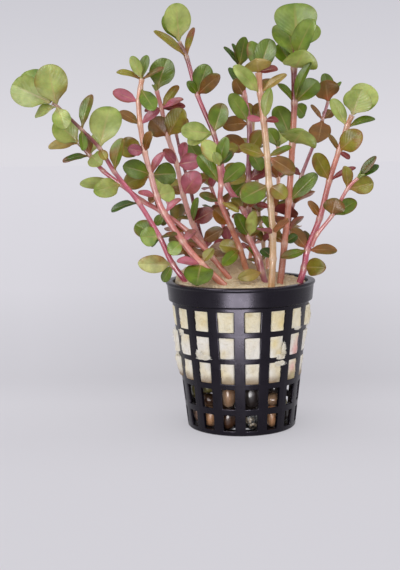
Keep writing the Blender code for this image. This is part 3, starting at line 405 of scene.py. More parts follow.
# Each shoot: stem radius, stem tone, and its nodes from foot to tip as (x, y, z) and leaves.
# The foot's height is worked out from the wool. None stands for an ordinary opposite pair.
# A leaf is (clock, length, width, lean, facing, tone): clock is its direction seen from the
# front in degrees from straight up, lean is towards the front, and facing is 90 where the
# blade is seen flat, 0 where it is seen edge-on, and negative where its underside shows.
SHOOTS = {
    "shoot_far_left": (1.05, "crimson", [
        ((-18, -8, 0), []),
        ((-22, -9, 55.5), [(-84, 11.5, 6, 15, 85, "pale"), (-150, 7, 4, -10, 60, "green")]),
        ((-26, -10, 64.5), [(-64, 9.5, 6.5, -10, 65, "green"), (-84, 7, 6.5, 25, 85, "fresh"),
                            (80, 6.5, 3, 20, 30, "dark"), (-138, 4.5, 2.5, 20, 45, "dark")]),
        ((-32.5, -12, 76), [(-108, 9.5, 3.5, 10, 40, "dark")]),
        ((-40, -13, 86), [(18, 11.5, 5.5, 10, 60, "green")]),
        ((-44.5, -13, 93.5), [(13, 14, 10.5, 0, 85, "light"), (150, 4.5, 3, 0, 70, "olive")]),
        ((-50, -14, 99.5), [(17, 12, 4.5, -10, 65, "green"), (174, 7, 3.5, 10, 50, "green")]),
        ((-57.5, -15, 107), [(-112, 8.5, 4.5, 0, 55, "light"), (158, 8.5, 6, 15, 75, "light"),
                             (-9, 13.5, 10.5, 10, 85, "light")]),
        ((-59, -15, 107.8), [(-64, 15, 9.8, -10, 85, "light"), (-43, 16.5, 9, -28, 80, "fresh")]),
    ]),
    "shoot_left": (0.95, "rose", [
        ((-4, -9, 0), []),
        ((-9, -9, 57.5), [(-80, 10, 4, 0, 50, "brown")]),
        ((-17, -7, 66), [(-78, 5.5, 3.5, -15, 50, "brown")]),
        ((-26, -3, 72.5), [(170, 5, 3.5, 10, 60, "green"), (-20, 5, 3, -20, 50, "olive")]),
        ((-32, -3, 76), []),
        ((-39, -3, 81.5), [(-88, 13.5, 4.5, 0, 55, "light"), (-104, 9.5, 6.5, 20, 80, "light")]),
        ((-45, -1, 86), []),
        ((-49.5, 0, 91.2), [(-102, 9.5, 3.2, 5, 45, "dark"), (125, 5.5, 6, 0, 75, "light"),
                          (-10, 8, 4, 10, 60, "brown"), (20, 8.5, 4.5, -5, 70, "light")]),
        ((-53.2, 1, 95.3), [(-44, 11, 8.5, 15, 80, "light"), (-97, 10.5, 4.5, 5, 50, "tan")]),
    ]),
    "shoot_peach_left": (1.2, "peach", [
        ((-6, -13.5, 0), []),
        ((-12.5, -13, 56), [(-168, 9, 9.5, 40, 85, "green"), (-80, 8, 3.5, 10, 45, "pink"),
                            (40, 6.5, 4, -10, 50, "olive")]),
        ((-18.5, -11, 63), [(-130, 6, 5, 10, 75, "fresh"), (-78, 6, 4, -20, 60, "brown"),
                            (50, 6, 3.5, -20, 50, "pink")]),
        ((-24.5, -8, 72), [(-140, 5, 3.5, 15, 60, "green"), (50, 7.5, 3, 0, 45, "pink")]),
        ((-27, -6, 77.5), [(-75, 6.5, 3, 10, 45, "pink"), (-112, 5, 4.5, 20, 75, "brown"),
                           (75, 6, 6, 5, 80, "light")]),
        ((-29, -4, 84.5), [(-108, 9.5, 6.5, 5, 80, "olive"), (-70, 9.5, 6.5, -10, 65, "green"),
                           (33, 9, 3.5, 5, 50, "pink"), (88, 8.5, 7.5, -15, 80, "green")]),
        ((-31, -2, 92), [(-74, 9.5, 7, -15, 75, "olive"), (-76, 6.5, 4, 30, 75, "pink"),
                         (22, 7.5, 4, 10, 60, "brown")]),
        ((-32.5, 0, 101), [(-60, 8.5, 4, 0, 60, "brown"), (55, 8.5, 3.5, 10, 55, "pink")]),
        ((-33, 2, 108.5), [(-67, 9.5, 4.5, 0, 70, "pink")]),
        ((-32.5, 3.5, 113), [(145, 10, 5.5, 0, 70, "green"), (-140, 5, 3, -20, 50, "olive")]),
        ((-32, 4, 116), [(-23, 8.5, 3.8, 10, 75, "light"), (12, 8.5, 3.8, -10, 65, "green"),
                         (-74, 9, 3, 0, 45, "olive"), (63, 8.5, 3, 0, 45, "brown")]),
    ]),
    "shoot_pale_left": (1.05, "rose", [
        ((-10.5, 5, 0), []),
        ((-13, 6, 61.5), [(60, 9, 5, 15, 70, "brown"), (-70, 5, 4, -20, 60, "brown")]),
        ((-16, 6, 68), [(60, 9, 5.5, 15, 75, "crimson"), (14, 9.5, 3, 15, 50, "green")]),
        ((-19, 6, 77.5), [(38, 10, 7.5, 15, 80, "pink"), (-60, 5, 3.5, -20, 60, "brown")]),
        ((-21, 7, 87.5), [(-40, 7, 4, 0, 65, "pink"), (80, 8.5, 6, 10, 75, "pink")]),
        ((-24, 8, 97), [(-42, 8.5, 7.5, 15, 80, "brown"), (32, 11, 7.5, 0, 80, "olive")]),
        ((-26, 9, 106.5), [(37, 10, 3.8, -10, 60, "olive"), (70, 8.5, 3, 10, 50, "pink"),
                           (86, 8.5, 3.5, 10, 60, "crimson"), (-98, 6, 3, 10, 50, "crimson")]),
        ((-27.5, 9, 112.5), [(20, 11.5, 9, 0, 80, "green"), (-8, 9, 3, -20, 50, "light")]),
    ]),
    "shoot_pink_left": (0.8, "crimson", [
        ((-10, 13, 0), []),
        ((-12, 15, 58), None),
        ((-15, 18, 68), None),
        ((-17, 20, 78), None),
        ((-20, 22, 89), [(12, 6.5, 4, 0, 70, "pink"), (100, 7, 4.5, 0, 65, "crimson")]),
        ((-22, 24, 98), [(-35, 7, 5, 0, 75, "pink"), (35, 7, 5, 0, 75, "olive")]),
    ]),
    "shoot_tall_left": (1.05, "rose", [
        ((8, -9, 0), []),
        ((7.2, -9, 52.6), [(-98, 8.5, 4, 15, 75, "tan")]),
        ((6, -9, 57.5), [(-40, 5, 3, -30, 50, "green")]),
        ((3, -9, 64), [(-28, 9.5, 4.5, 10, 65, "green"), (12, 9.5, 4, 5, 75, "light"),
                       (55, 6, 2.5, 10, 45, "olive")]),
        ((1.2, -8, 73), None),
        ((-4, -6, 81), [(70, 7, 4, -20, 60, "olive")]),
        ((-6.5, -3, 91), [(-140, 7, 4, 0, 60, "dark"), (70, 7, 4.5, -15, 65, "olive")]),
        ((-8.3, -1, 97.8), [(-84, 11, 6.5, 5, 75, "light"), (-108, 9.5, 5, -10, 65, "light"),
                            (18, 10.5, 6.8, 0, 80, "green")]),
        ((-13.5, 2, 110.5), [(20, 10.5, 7, 0, 75, "green"), (52, 10.5, 5, 20, 75, "brown"),
                             (-38, 5.5, 3.5, 0, 60, "green")]),
        ((-17, 4, 123), [(-52, 13.5, 3.2, 10, 50, "olive"), (12, 11.5, 3, -20, 55, "olive")]),
        ((-19.5, 5, 128), [(-2, 13, 9, 15, 85, "light"), (-17, 11.5, 8, -20, 80, "green")]),
    ]),
    "shoot_centre": (1.1, "peach", [
        ((2, -3, 0), []),
        ((0, -5, 60), [(-80, 7.5, 5, 20, 75, "olive"), (-95, 11, 5.5, -15, 65, "brown"),
                       (-130, 8.5, 4, 20, 75, "green")]),
        ((-3, -9, 68), [(-45, 8, 5.5, 15, 75, "brown")]),
        ((-6, -13, 76), [(-70, 7.5, 3.5, 10, 50, "dark"), (119, 7.5, 2.5, 25, 45, "olive")]),
        ((-5.8, -16, 81.5), [(-38, 12, 5, 0, 70, "green"), (50, 10, 5, 5, 75, "green")]),
        ((-6.3, -17, 87.5), [(-32, 9.5, 5.5, 0, 75, "light"), (16, 9.5, 4.2, 0, 75, "green"),
                             (-18, 6, 3.2, 40, 75, "light"), (45, 6.5, 3.5, -10, 65, "dark")]),
    ]),
    "shoot_thick_centre": (1.15, "cream", [
        ((10, -15, 0), []),
        ((10.5, -15, 57.5), [(-50, 6, 4, -40, 60, "dark")]),
        ((10.5, -15, 65.5), None),
        ((10, -14, 74), [(-80, 5, 2.5, 15, 50, "crimson")]),
        ((9.5, -13, 81), [(-116, 11, 7.5, 20, 75, "green"), (128, 7, 5.5, 0, 75, "olive")]),
        ((9, -12, 90), [(-70, 10, 4.5, 15, 60, "olive"), (68, 8.5, 3, 0, 45, "green"),
                        (122, 10.5, 5.5, 5, 75, "brown")]),
        ((8, -11, 101.5), [(12, 10.5, 4, 10, 70, "light"), (95, 5, 3, 15, 50, "crimson"),
                           (-80, 5.5, 3, 0, 50, "pink")]),
        ((7, -11, 110), [(-46, 12.5, 5, 15, 75, "light"), (56, 10.5, 3.5, 10, 50, "tan"),
                         (38, 7, 4.5, -30, 70, "olive")]),
        ((6.5, -11, 116.5), [(20, 11.5, 7, -5, 80, "green"), (-12, 11, 5.5, -15, 70, "green"),
                             (-12, 8, 9, 58, 85, "tan"), (82, 6.5, 3.2, 15, 50, "crimson")]),
    ]),
    "shoot_mid_back": (1.05, "rose", [
        ((7, -3, 0), []),
        ((6, -3, 55), None),
        ((3.5, -1, 64), None),
        ((3, 1, 73), None),
        ((3, 3, 82), [(60, 8, 5, 0, 60, "crimson"), (-58, 9.5, 6, 10, 70, "olive"),
                      (-130, 8, 5, 10, 70, "green")]),
        ((3.5, 4, 92), [(35, 8, 5.5, 10, 70, "olive"), (-66, 10, 6, 10, 75, "brown"),
                        (150, 8, 5, 10, 70, "green")]),
        ((3.5, 5, 101), [(-33, 11.8, 5.5, 0, 80, "fresh"), (-95, 9.5, 5.5, 15, 75, "brown")]),
        ((2, 6, 110), [(-27, 11.5, 3.5, -10, 50, "dark"), (-30, 7, 5.5, 20, 75, "brown")]),
        ((0.5, 8, 120), [(-39, 8.5, 2.5, 0, 50, "dark"), (-18, 8, 2.5, 0, 50, "dark"),
                         (13, 9.5, 5, 10, 70, "green"), (42, 6.5, 2.5, 0, 50, "green")]),
    ]),
    "shoot_thin_peach": (0.75, "cream", [
        ((8, 7, 0), []),
        ((8, 9, 61), None),
        ((6.5, 11, 71), None),
        ((6, 12, 82), None),
        ((5, 13, 92), None),
        ((5, 14, 102), [(30, 7, 5, 0, 70, "brown"), (-30, 7, 5, 0, 70, "olive")]),
    ]),
    "shoot_tall_right": (1.1, "crimson", [
        ((13, -9, 0), []),
        ((14.5, -9, 62), [(-55, 6, 4, -20, 60, "brown"), (60, 5, 3.5, 0, 60, "dark")]),
        ((16, -8, 75.5), [(46, 13, 5.5, 5, 70, "green"), (-170, 7, 8, -45, 80, "crimson")]),
        ((17.3, -7, 94), [(38, 8.5, 12.5, 50, 112, "light"), (-22, 13.5, 7, 5, 75, "green")]),
        ((18, -6, 107), [(23, 14, 3.8, 10, 50, "green"), (48, 11.5, 6.5, -20, 80, "green"),
                         (-40, 8.5, 3, -10, 50, "green"), (140, 6, 5, -25, 70, "green")]),
        ((18, -5, 118), [(28, 9.5, 11.5, 50, 112, "light"), (-30, 10, 6.5, -10, 75, "green")]),
        ((18.3, -5, 121), [(-12, 13.5, 11.5, 20, 85, "fresh"), (26, 13, 7.5, 2, 65, "fresh")]),
        ((18.8, -5, 126), [(-2, 13.5, 13.8, -12, 85, "fresh"), (58, 9, 6.5, -4, 75, "fresh")]),
    ]),
    "shoot_thin_right": (0.75, "mauve", [
        ((14, -1, 0), []),
        ((16, 2, 65), None),
        ((18, 4, 74), None),
        ((21, 6, 83.5), [(-60, 5, 3, 0, 50, "crimson")]),
        ((25.5, 8, 94.5), []),
        ((28.3, 10, 102), [(-165, 9, 7.5, 25, 80, "brown"), (-38, 6.5, 2.5, 0, 50, "brown"),
                           (50, 5, 4, -20, 60, "brown")]),
        ((30.3, 12, 108), [(-10, 8, 8.5, 25, 80, "brown"), (-6, 10, 5, -10, 75, "green"),
                           (35, 8.5, 2.5, -10, 50, "green")]),
    ]),
    "shoot_right": (1.15, "rose", [
        ((19.5, -6.5, 0), []),
        ((21, -7, 53.8), [(86, 7.5, 6, 25, 80, "olive")]),
        ((22, -7, 59.5), [(-36, 9, 5, 10, 75, "brown"), (92, 10, 4, 0, 60, "brown"),
                          (-101, 9.5, 3.5, 15, 50, "green"), (-5, 6.5, 3, -20, 60, "dark")]),
        ((26, -8, 70), [(-34, 7, 3, 10, 60, "brown")]),
        ((29, -9, 82), [(-30, 10.5, 5.5, 0, 75, "olive"), (63, 10, 2.5, 20, 45, "crimson")]),
        ((32, -10, 91.5), [(48, 9, 7, 0, 80, "olive"), (-34, 6.5, 2.5, 10, 55, "brown"),
                           (128, 4.5, 2.5, 20, 50, "crimson")]),
        ((34.5, -10, 99), [(-26, 10.5, 4.5, 5, 75, "light"), (75, 9.5, 3.5, 0, 45, "green")]),
        ((36, -11, 102.6), [(18, 9.5, 9.2, 25, 85, "light"), (34, 12, 9.5, -15, 80, "light")]),
    ]),
    "side_shoot_right": (0.75, "rose", [
        ((23.3, -9.3, 61), []),
        ((25, -11, 65), []),
        ((29.5, -13, 71), [(10, 6.5, 7, 25, 80, "brown"), (60, 9.5, 5, -10, 75, "green"),
                           (20, 9, 4.5, -25, 70, "olive")]),
        ((34.2, -15, 79.5), [(78, 9, 6, 5, 80, "olive"), (-6, 7.5, 4, 0, 70, "olive")]),
        ((37.4, -16, 83), [(40, 9, 3, 5, 60, "dark"), (60, 8, 3, -10, 55, "dark")]),
    ]),
    "shoot_back_left": (0.85, "rose", [
        ((-2, 12, 0), []),
        ((-4, 17, 60), None),
        ((-7, 22, 70), None),
        ((-10, 27, 79), None),
        ((-14, 31, 88), [(-30, 8, 5.5, -10, 70, "green"), (30, 8, 5.5, -20, 70, "light")]),
    ]),
    "shoot_back_right": (0.85, "peach", [
        ((9, 14, 0), []),
        ((11, 19, 60), None),
        ((13, 24, 71), None),
        ((14, 28, 82), None),
        ((14, 32, 93), [(-30, 8, 5.5, -10, 70, "green"), (30, 8, 5.5, -20, 70, "light")]),
    ]),
    "shoot_back_low": (0.8, "peach", [
        ((3, 18, 0), []),
        ((4, 24, 58), None),
        ((3, 31, 66), None),
        ((1, 37, 74), [(-35, 8, 5.5, -10, 70, "olive"), (35, 8, 5.5, -20, 70, "green")]),
    ]),
    "shoot_back_side": (0.8, "rose", [
        ((-13, 12, 0), []),
        ((-17, 18, 57), None),
        ((-22, 25, 66), None),
        ((-27, 31, 76), [(-35, 8, 5.5, -10, 70, "light"), (35, 8, 5.5, -20, 70, "olive")]),
    ]),
}

# Leaf tones as screen colours: upper face, near the stalk, along the edge, and underside
LEAF_TONES = {
    "tan": ((178, 156, 80), (196, 140, 84), (150, 142, 58), (190, 150, 100)),
    "pale": ((208, 210, 130), (198, 176, 116), (150, 166, 72), (188, 186, 114)),
    "light": ((178, 190, 102), (192, 168, 106), (134, 158, 54), (182, 182, 108)),
    "fresh": ((140, 162, 62), (168, 158, 84), (98, 130, 34), (164, 168, 92)),
    "green": ((104, 128, 26), (156, 122, 56), (80, 98, 14), (150, 134, 64)),
    "dark": ((66, 94, 16), (104, 80, 36), (48, 68, 10), (122, 96, 52)),
    "olive": ((142, 134, 36), (182, 106, 62), (138, 92, 36), (176, 112, 74)),
    "brown": ((132, 90, 30), (184, 86, 64), (106, 98, 30), (178, 104, 80)),
    "pink": ((190, 104, 120), (198, 94, 108), (140, 86, 64), (194, 106, 122)),
    "crimson": ((130, 52, 52), (160, 60, 62), (102, 48, 32), (152, 68, 70)),
}
RED_EDGE = (160, 74, 44)
RED_EDGES = {"pale": 0.12, "light": 0.12, "fresh": 0.0}
USUAL_RED_EDGES = 0.4

STEM_TONES = {
    "magenta": (206, 96, 118),
    "crimson": (126, 40, 42),
    "russet": (118, 66, 46),
    "rose": (208, 122, 118),
    "pale": (228, 172, 160),
    "salmon": (216, 136, 110),
    "clay": (194, 124, 98),
    "peach": (226, 160, 124),
    "cream": (218, 182, 138),
    "straw": (214, 168, 120),
    "mauve": (168, 100, 108),
}
NODE_TONE = (230, 196, 168)

# How each stem's tone changes with height; the others keep one tone
STEM_CHANGES = {
    "shoot_far_left": ((50, "magenta"), (80, "magenta"), (94, "crimson"), (104, "russet")),
    "shoot_left": ((50, "salmon"), (74, "rose"), (86, "magenta"), (94, "russet")),
    "shoot_peach_left": ((50, "salmon"), (72, "rose"), (86, "pale"), (104, "peach")),
    "shoot_pale_left": ((50, "rose"), (80, "pale"), (98, "pale"), (110, "rose")),
    "shoot_tall_left": ((50, "mauve"), (62, "rose"), (84, "magenta"), (100, "crimson"),
                        (114, "magenta"), (124, "russet")),
    "shoot_centre": ((50, "peach"), (66, "salmon"), (80, "rose")),
    "shoot_thick_centre": ((50, "straw"), (68, "cream"), (94, "cream"), (104, "peach"),
                           (114, "peach")),
    "shoot_mid_back": ((50, "clay"), (74, "mauve"), (100, "mauve"), (112, "rose")),
    "shoot_tall_right": ((50, "clay"), (76, "salmon"), (100, "salmon"), (107, "crimson"),
                         (127, "crimson")),
    "shoot_right": ((50, "magenta"), (62, "magenta"), (76, "rose"), (100, "peach")),
}

# The span that noise mostly stays in
NOISE_RANGE = (0.3, 0.7)

# The midrib on a blade: its tone, its soft edge as a share of the width, its fade along the
# blade, and the slanting veins beside it
MIDRIB_TONE = (206, 170, 118)
MIDRIB_LINE = (0.012, 0.045)
MIDRIB_STRENGTH = 0.55
MIDRIB_FADE = (0.1, 0.85)
MIDRIB_AT_TIP = 0.15
VEINS_ALONG = 52.0
VEINS_SLANT = 44.0
VEIN_HEIGHT = 0.12

# How noise is drawn out along a stem
STREAKS = (1.0, 1.0, 0.25)

# Screen colours of the pot and the wool by noise, and the tint of the pot's shine
POT_TONES = ((0.3, (8, 6, 11)), (0.7, (15, 12, 20)))
POT_SHEEN = (0.90, 0.82, 1.0)
WOOL_TONES = ((0.26, (240, 233, 212)), (0.40, (252, 249, 239)), (0.66, (255, 255, 252)))

# Kinds of stone: a dark and a light screen colour, and the roughness
STONE_KINDS = {
    "grit": ((20, 16, 14), (196, 176, 146), 0.5),
    "tan": ((158, 114, 80), (230, 192, 154), 0.22),
    "orange": ((206, 130, 80), (252, 202, 150), 0.38),
    "brown": ((56, 36, 26), (112, 76, 52), 0.28),
    "olive": ((94, 92, 42), (172, 160, 100), 0.28),
    "grey": ((34, 28, 27), (66, 57, 54), 0.28),
    "pink": ((206, 156, 130), (252, 222, 200), 0.4),
}
STONE_TONES = (
    "pink", "orange", "brown", "grit", "orange", "grey",
    "brown", "grey", "brown", "tan", "grey",
    "olive", "tan", "grey", "brown",
    "olive", "olive", "brown", "tan", "grey", "grey", "tan",
    "brown", "brown", "grey", "brown", "olive",
    "brown", "orange", "grey", "tan",
)
STONE_SWELL = (1.26, 1.26, 1.05)
STONE_WELD = 0.01
STONE_FINENESS = 3
GRAIN_SCALE = 1000
GRAIN_SPAN = (0.45, 0.95)
CLOUD_SPAN = (0.32, 0.68)
SPECK_RANGE = (0.62, 0.70)
SPECK_STRENGTH = 0.5
SPECK_LIGHT = 1.3


# Places, colours and noise

def polar(turn, radius, z):
    """A point at an angle about the Z axis and a distance from it."""
    return Vector((radius * math.cos(turn), radius * math.sin(turn), z))


def screen(colour):
    """A screen colour of 0 to 255 as linear light."""
    linear = []
    for part in colour:
        share = part / 255
        linear.append(share / 12.92 if share <= 0.04045 else ((share + 0.055) / 1.055) ** 2.4)
    return Vector(linear)


def crumple(place, size, seed):
    """Smooth noise from -1 to 1."""
    return noise.noise(Vector(place) / size + Vector([seed * part for part in SEED_WAY]))


def uneven(place, look, seed):
    """Smooth noise, with its strength and size given together."""
    strength, size = look
    return strength * crumple(place, size, seed)


def cloud(place, size, seed):
    """Smooth noise from 0 to 1."""
    return 0.5 + 0.5 * crumple(place, size, seed)


def clamped(value, low=0.0, high=1.0):
    """The value, kept between two limits."""
    return min(high, max(low, value))


# Meshes

def put_in_scene(name, data):
    made = bpy.data.objects.new(name, data)
    bpy.context.scene.collection.objects.link(made)
    return made


class Shape:
    """Points and faces of one piece, each point with a colour and a place across and along."""

    def __init__(self):
        self.points = []
        self.faces = []
        self.slots = []
        self.colours = []
        self.places = []

    def point(self, place, colour=(1, 1, 1), across=0.5, along=0.5):
        self.points.append(tuple(each * MM for each in place))
        self.colours.append((*colour, 1.0))
        self.places.append((across, along))
        return len(self.points) - 1

    def face(self, corners, slot=0):
        self.faces.append(corners)
        self.slots.append(slot)

    def bridge(self, low, high, slot=0):
        """Faces between two closed rings."""
        sides = len(low)
        for i in range(sides):
            j = (i + 1) % sides
            self.face((low[i], low[j], high[j], high[i]), slot)

    def skin(self, rings, slot=0):
        """Faces over closed rings, from each to the next."""
        for low, high in zip(rings, rings[1:]):
            self.bridge(low, high, slot)

    def make(self, name, materials, sharp_angle=SHARP_ANGLE):
        mesh = bpy.data.meshes.new(name)
        mesh.from_pydata(self.points, [], self.faces)
        for each in materials:
            mesh.materials.append(each)
        mesh.polygons.foreach_set("material_index", self.slots)
        tone = mesh.color_attributes.new("tone", "FLOAT_COLOR", "POINT")
        tone.data.foreach_set("color", [part for colour in self.colours for part in colour])
        corners = [0] * len(mesh.loops)
        mesh.loops.foreach_get("vertex_index", corners)
        layer = mesh.uv_layers.new(name="blade")
        layer.data.foreach_set("uv", [part for corner in corners for part in self.places[corner]])
        mesh.shade_smooth()
        mesh.set_sharp_from_angle(angle=math.radians(sharp_angle))
        mesh.update()
        return put_in_scene(name, mesh)


def finish_piece(made, nodes):
    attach(made, "root")
    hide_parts(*nodes)


# Materials

class Nodes:
    """A node tree, with short calls for what is used here, and the shader that it feeds."""

    def __init__(self, tree, shader):
        self.tree = tree
        self.shader = tree.nodes[shader]

    def feed(self, socket, value):
        """Links a socket to another one, or sets it to a number, a vector or a colour."""
        if isinstance(value, bpy.types.NodeSocket):
            self.tree.links.new(value, socket)
        elif socket.type == "RGBA":
            socket.default_value = (*value, 1)
        else:
            socket.default_value = value

    def node(self, kind, sockets=None, **settings):
        made = self.tree.nodes.new(kind)
        for name, value in settings.items():
            setattr(made, name, value)
        for key, value in (sockets or {}).items():
            self.feed(made.inputs[key], value)
        return made

    def surface(self, **values):
        """Feeds the shader's sockets; an underscore stands for the space in a name."""
        for name, value in values.items():
            self.feed(self.shader.inputs[name.replace("_", " ")], value)

    def place(self, kind="Object"):
        return self.node("ShaderNodeTexCoord").outputs[kind]

    def parts(self, vector):
        return self.node("ShaderNodeSeparateXYZ", {0: vector}).outputs

    def tone(self):
        return self.node("ShaderNodeVertexColor", layer_name="tone").outputs["Color"]

    def noise(self, scale, detail=3.0, roughness=0.55, place=None):
        sockets = {"Scale": scale, "Detail": detail, "Roughness": roughness,
                   "Vector": place or self.place()}
        return self.node("ShaderNodeTexNoise", sockets).outputs["Fac"]

    def fit(self, value, low, high, new_low, new_high):
        sockets = {"Value": value, "From Min": low, "From Max": high,
                   "To Min": new_low, "To Max": new_high}
        return self.node("ShaderNodeMapRange", sockets).outputs["Result"]

    def vary(self, low, high, **texture):
        """Noise that runs from low to high."""
        return self.fit(self.noise(**texture), *NOISE_RANGE, low, high)

    def ramp(self, factor, stops):
        made = self.node("ShaderNodeValToRGB", {"Fac": factor})
        ramp = made.color_ramp
        for element, (place, colour) in zip(ramp.elements, (stops[0], stops[-1])):
            element.position = place
            element.color = (*colour, 1)
        for place, colour in stops[1:-1]:
            ramp.elements.new(place).color = (*colour, 1)
        return made.outputs["Color"]

    def screen_ramp(self, factor, stops):
        return self.ramp(factor, [(place, screen(colour)) for place, colour in stops])

    def math(self, operation, *values):
        made = self.node("ShaderNodeMath", dict(enumerate(values)), operation=operation)
        return made.outputs["Value"]

    def grey(self, value):
        return self.node("ShaderNodeCombineColor", {0: value, 1: value, 2: value}).outputs[0]

    def mix(self, factor, first, second, blend="MIX"):
        made = self.node("ShaderNodeMix", data_type="RGBA", blend_type=blend)
        for number, value in ((0, factor), (6, first), (7, second)):
            self.feed(made.inputs[number], value)
        return made.outputs[2]

    def multiply(self, first, second):
        return self.mix(1.0, first, second, "MULTIPLY")

    def bump(self, height, strength, distance):
        """Relief; the distance is in metres."""
        sockets = {"Strength": strength, "Distance": distance, "Height": height}
        self.surface(Normal=self.node("ShaderNodeBump", sockets).outputs["Normal"])


def new_material(name):
    material = bpy.data.materials.new(name)
    material.use_nodes = True
    return material, Nodes(material.node_tree, "Principled BSDF")


def leaf_material():
    """A mottled blade, paler along its midrib, with a faint relief of slanting veins."""
    material, nodes = new_material("leaf")
    blade = nodes.parts(nodes.node("ShaderNodeUVMap", uv_map="blade").outputs["UV"])
    off_middle = nodes.math("ABSOLUTE", nodes.math("SUBTRACT", blade["X"], 0.5))
    mottle = nodes.vary(low=0.84, high=1.12, scale=520, detail=4)
    colour = nodes.multiply(nodes.tone(), nodes.grey(mottle))
    rib = nodes.fit(off_middle, *MIDRIB_LINE, MIDRIB_STRENGTH, 0.0)
    fade = nodes.fit(blade["Y"], *MIDRIB_FADE, 1.0, MIDRIB_AT_TIP)
    colour = nodes.mix(nodes.math("MULTIPLY", rib, fade), colour, screen(MIDRIB_TONE))
    slant = nodes.math("SUBTRACT", nodes.math("MULTIPLY", blade["Y"], VEINS_ALONG),
                       nodes.math("MULTIPLY", off_middle, VEINS_SLANT))
    veins = nodes.math("MULTIPLY", nodes.math("SINE", slant), VEIN_HEIGHT)
    height = nodes.math("ADD", veins, nodes.noise(scale=320, detail=2))
    nodes.bump(height, strength=0.5, distance=0.00016)
    gloss = nodes.vary(low=0.26, high=0.42, scale=600, detail=2)
    nodes.surface(Base_Color=colour, Roughness=gloss,
                  Subsurface_Weight=0.1, Subsurface_Scale=0.0006, Specular_IOR_Level=0.3)
    return material


def stem_material():
    """A smooth stem, with its tones drawn out along its length."""
    material, nodes = new_material("stem")
    mapping = nodes.node("ShaderNodeMapping", {"Vector": nodes.place(), "Scale": STREAKS})
    streaks = mapping.outputs["Vector"]
    shade = nodes.vary(low=0.84, high=1.10, scale=700, roughness=0.5, place=streaks)
    relief = nodes.noise(scale=1100, roughness=0.5, place=streaks)
    nodes.bump(relief, strength=0.25, distance=0.0001)
    nodes.surface(Base_Color=nodes.multiply(nodes.tone(), nodes.grey(shade)),
                  Roughness=nodes.vary(low=0.22, high=0.34, scale=500, detail=2),
                  Subsurface_Weight=0.1, Subsurface_Scale=0.0008, Specular_IOR_Level=0.7)
    return material


def pot_material():
    material, nodes = new_material("pot plastic")
    nodes.bump(nodes.noise(scale=2600), strength=0.2, distance=0.00006)
    nodes.surface(Base_Color=nodes.screen_ramp(nodes.noise(scale=120, detail=4), POT_TONES),
                  Roughness=nodes.vary(low=0.24, high=0.34, scale=260),
                  Specular_IOR_Level=0.26, Specular_Tint=POT_SHEEN)
    return material


def wool_material():
    material, nodes = new_material("rock wool")
    clumps = nodes.noise(scale=260, detail=5, roughness=0.62)
    colour = nodes.screen_ramp(clumps, WOOL_TONES)
    nodes.bump(nodes.noise(scale=1500, detail=6, roughness=0.7), strength=0.8, distance=0.0004)
    nodes.surface(Base_Color=nodes.multiply(colour, nodes.tone()), Roughness=0.95,
                  Specular_IOR_Level=0.15, Sheen_Weight=0.2, Sheen_Roughness=0.6)
    return material


def grit_colour(nodes, dark, light):
    """Grains of their own tones, standing up from the stone."""
    grains = nodes.node("ShaderNodeTexVoronoi", {"Scale": GRAIN_SCALE, "Vector": nodes.place()})
    tone = nodes.node("ShaderNodeSeparateColor", {0: grains.outputs["Color"]}).outputs[0]
    relief = nodes.math("SUBTRACT", 1.0, grains.outputs["Distance"])
    nodes.bump(relief, strength=1.0, distance=0.0006)
    return nodes.screen_ramp(tone, tuple(zip(GRAIN_SPAN, (dark, light))))


def pebble_colour(nodes, dark, light):
    """Soft clouds of two tones with pale specks."""
    clouds = nodes.noise(scale=180, detail=5, roughness=0.6)
    colour = nodes.screen_ramp(clouds, tuple(zip(CLOUD_SPAN, (dark, light))))
    speck = nodes.fit(nodes.noise(scale=1400, detail=2), *SPECK_RANGE, 0.0, SPECK_STRENGTH)
    nodes.bump(nodes.noise(scale=800, detail=5), strength=0.4, distance=0.0002)
    return nodes.mix(speck, colour, screen(light) * SPECK_LIGHT)


def stone_material(kind, dark, light, roughness):
    material, nodes = new_material(kind + " stone")
    colour = (grit_colour if kind == "grit" else pebble_colour)(nodes, dark, light)
    nodes.surface(Base_Color=colour, Roughness=roughness, Coat_Weight=0.18, Coat_Roughness=0.2)
    return material


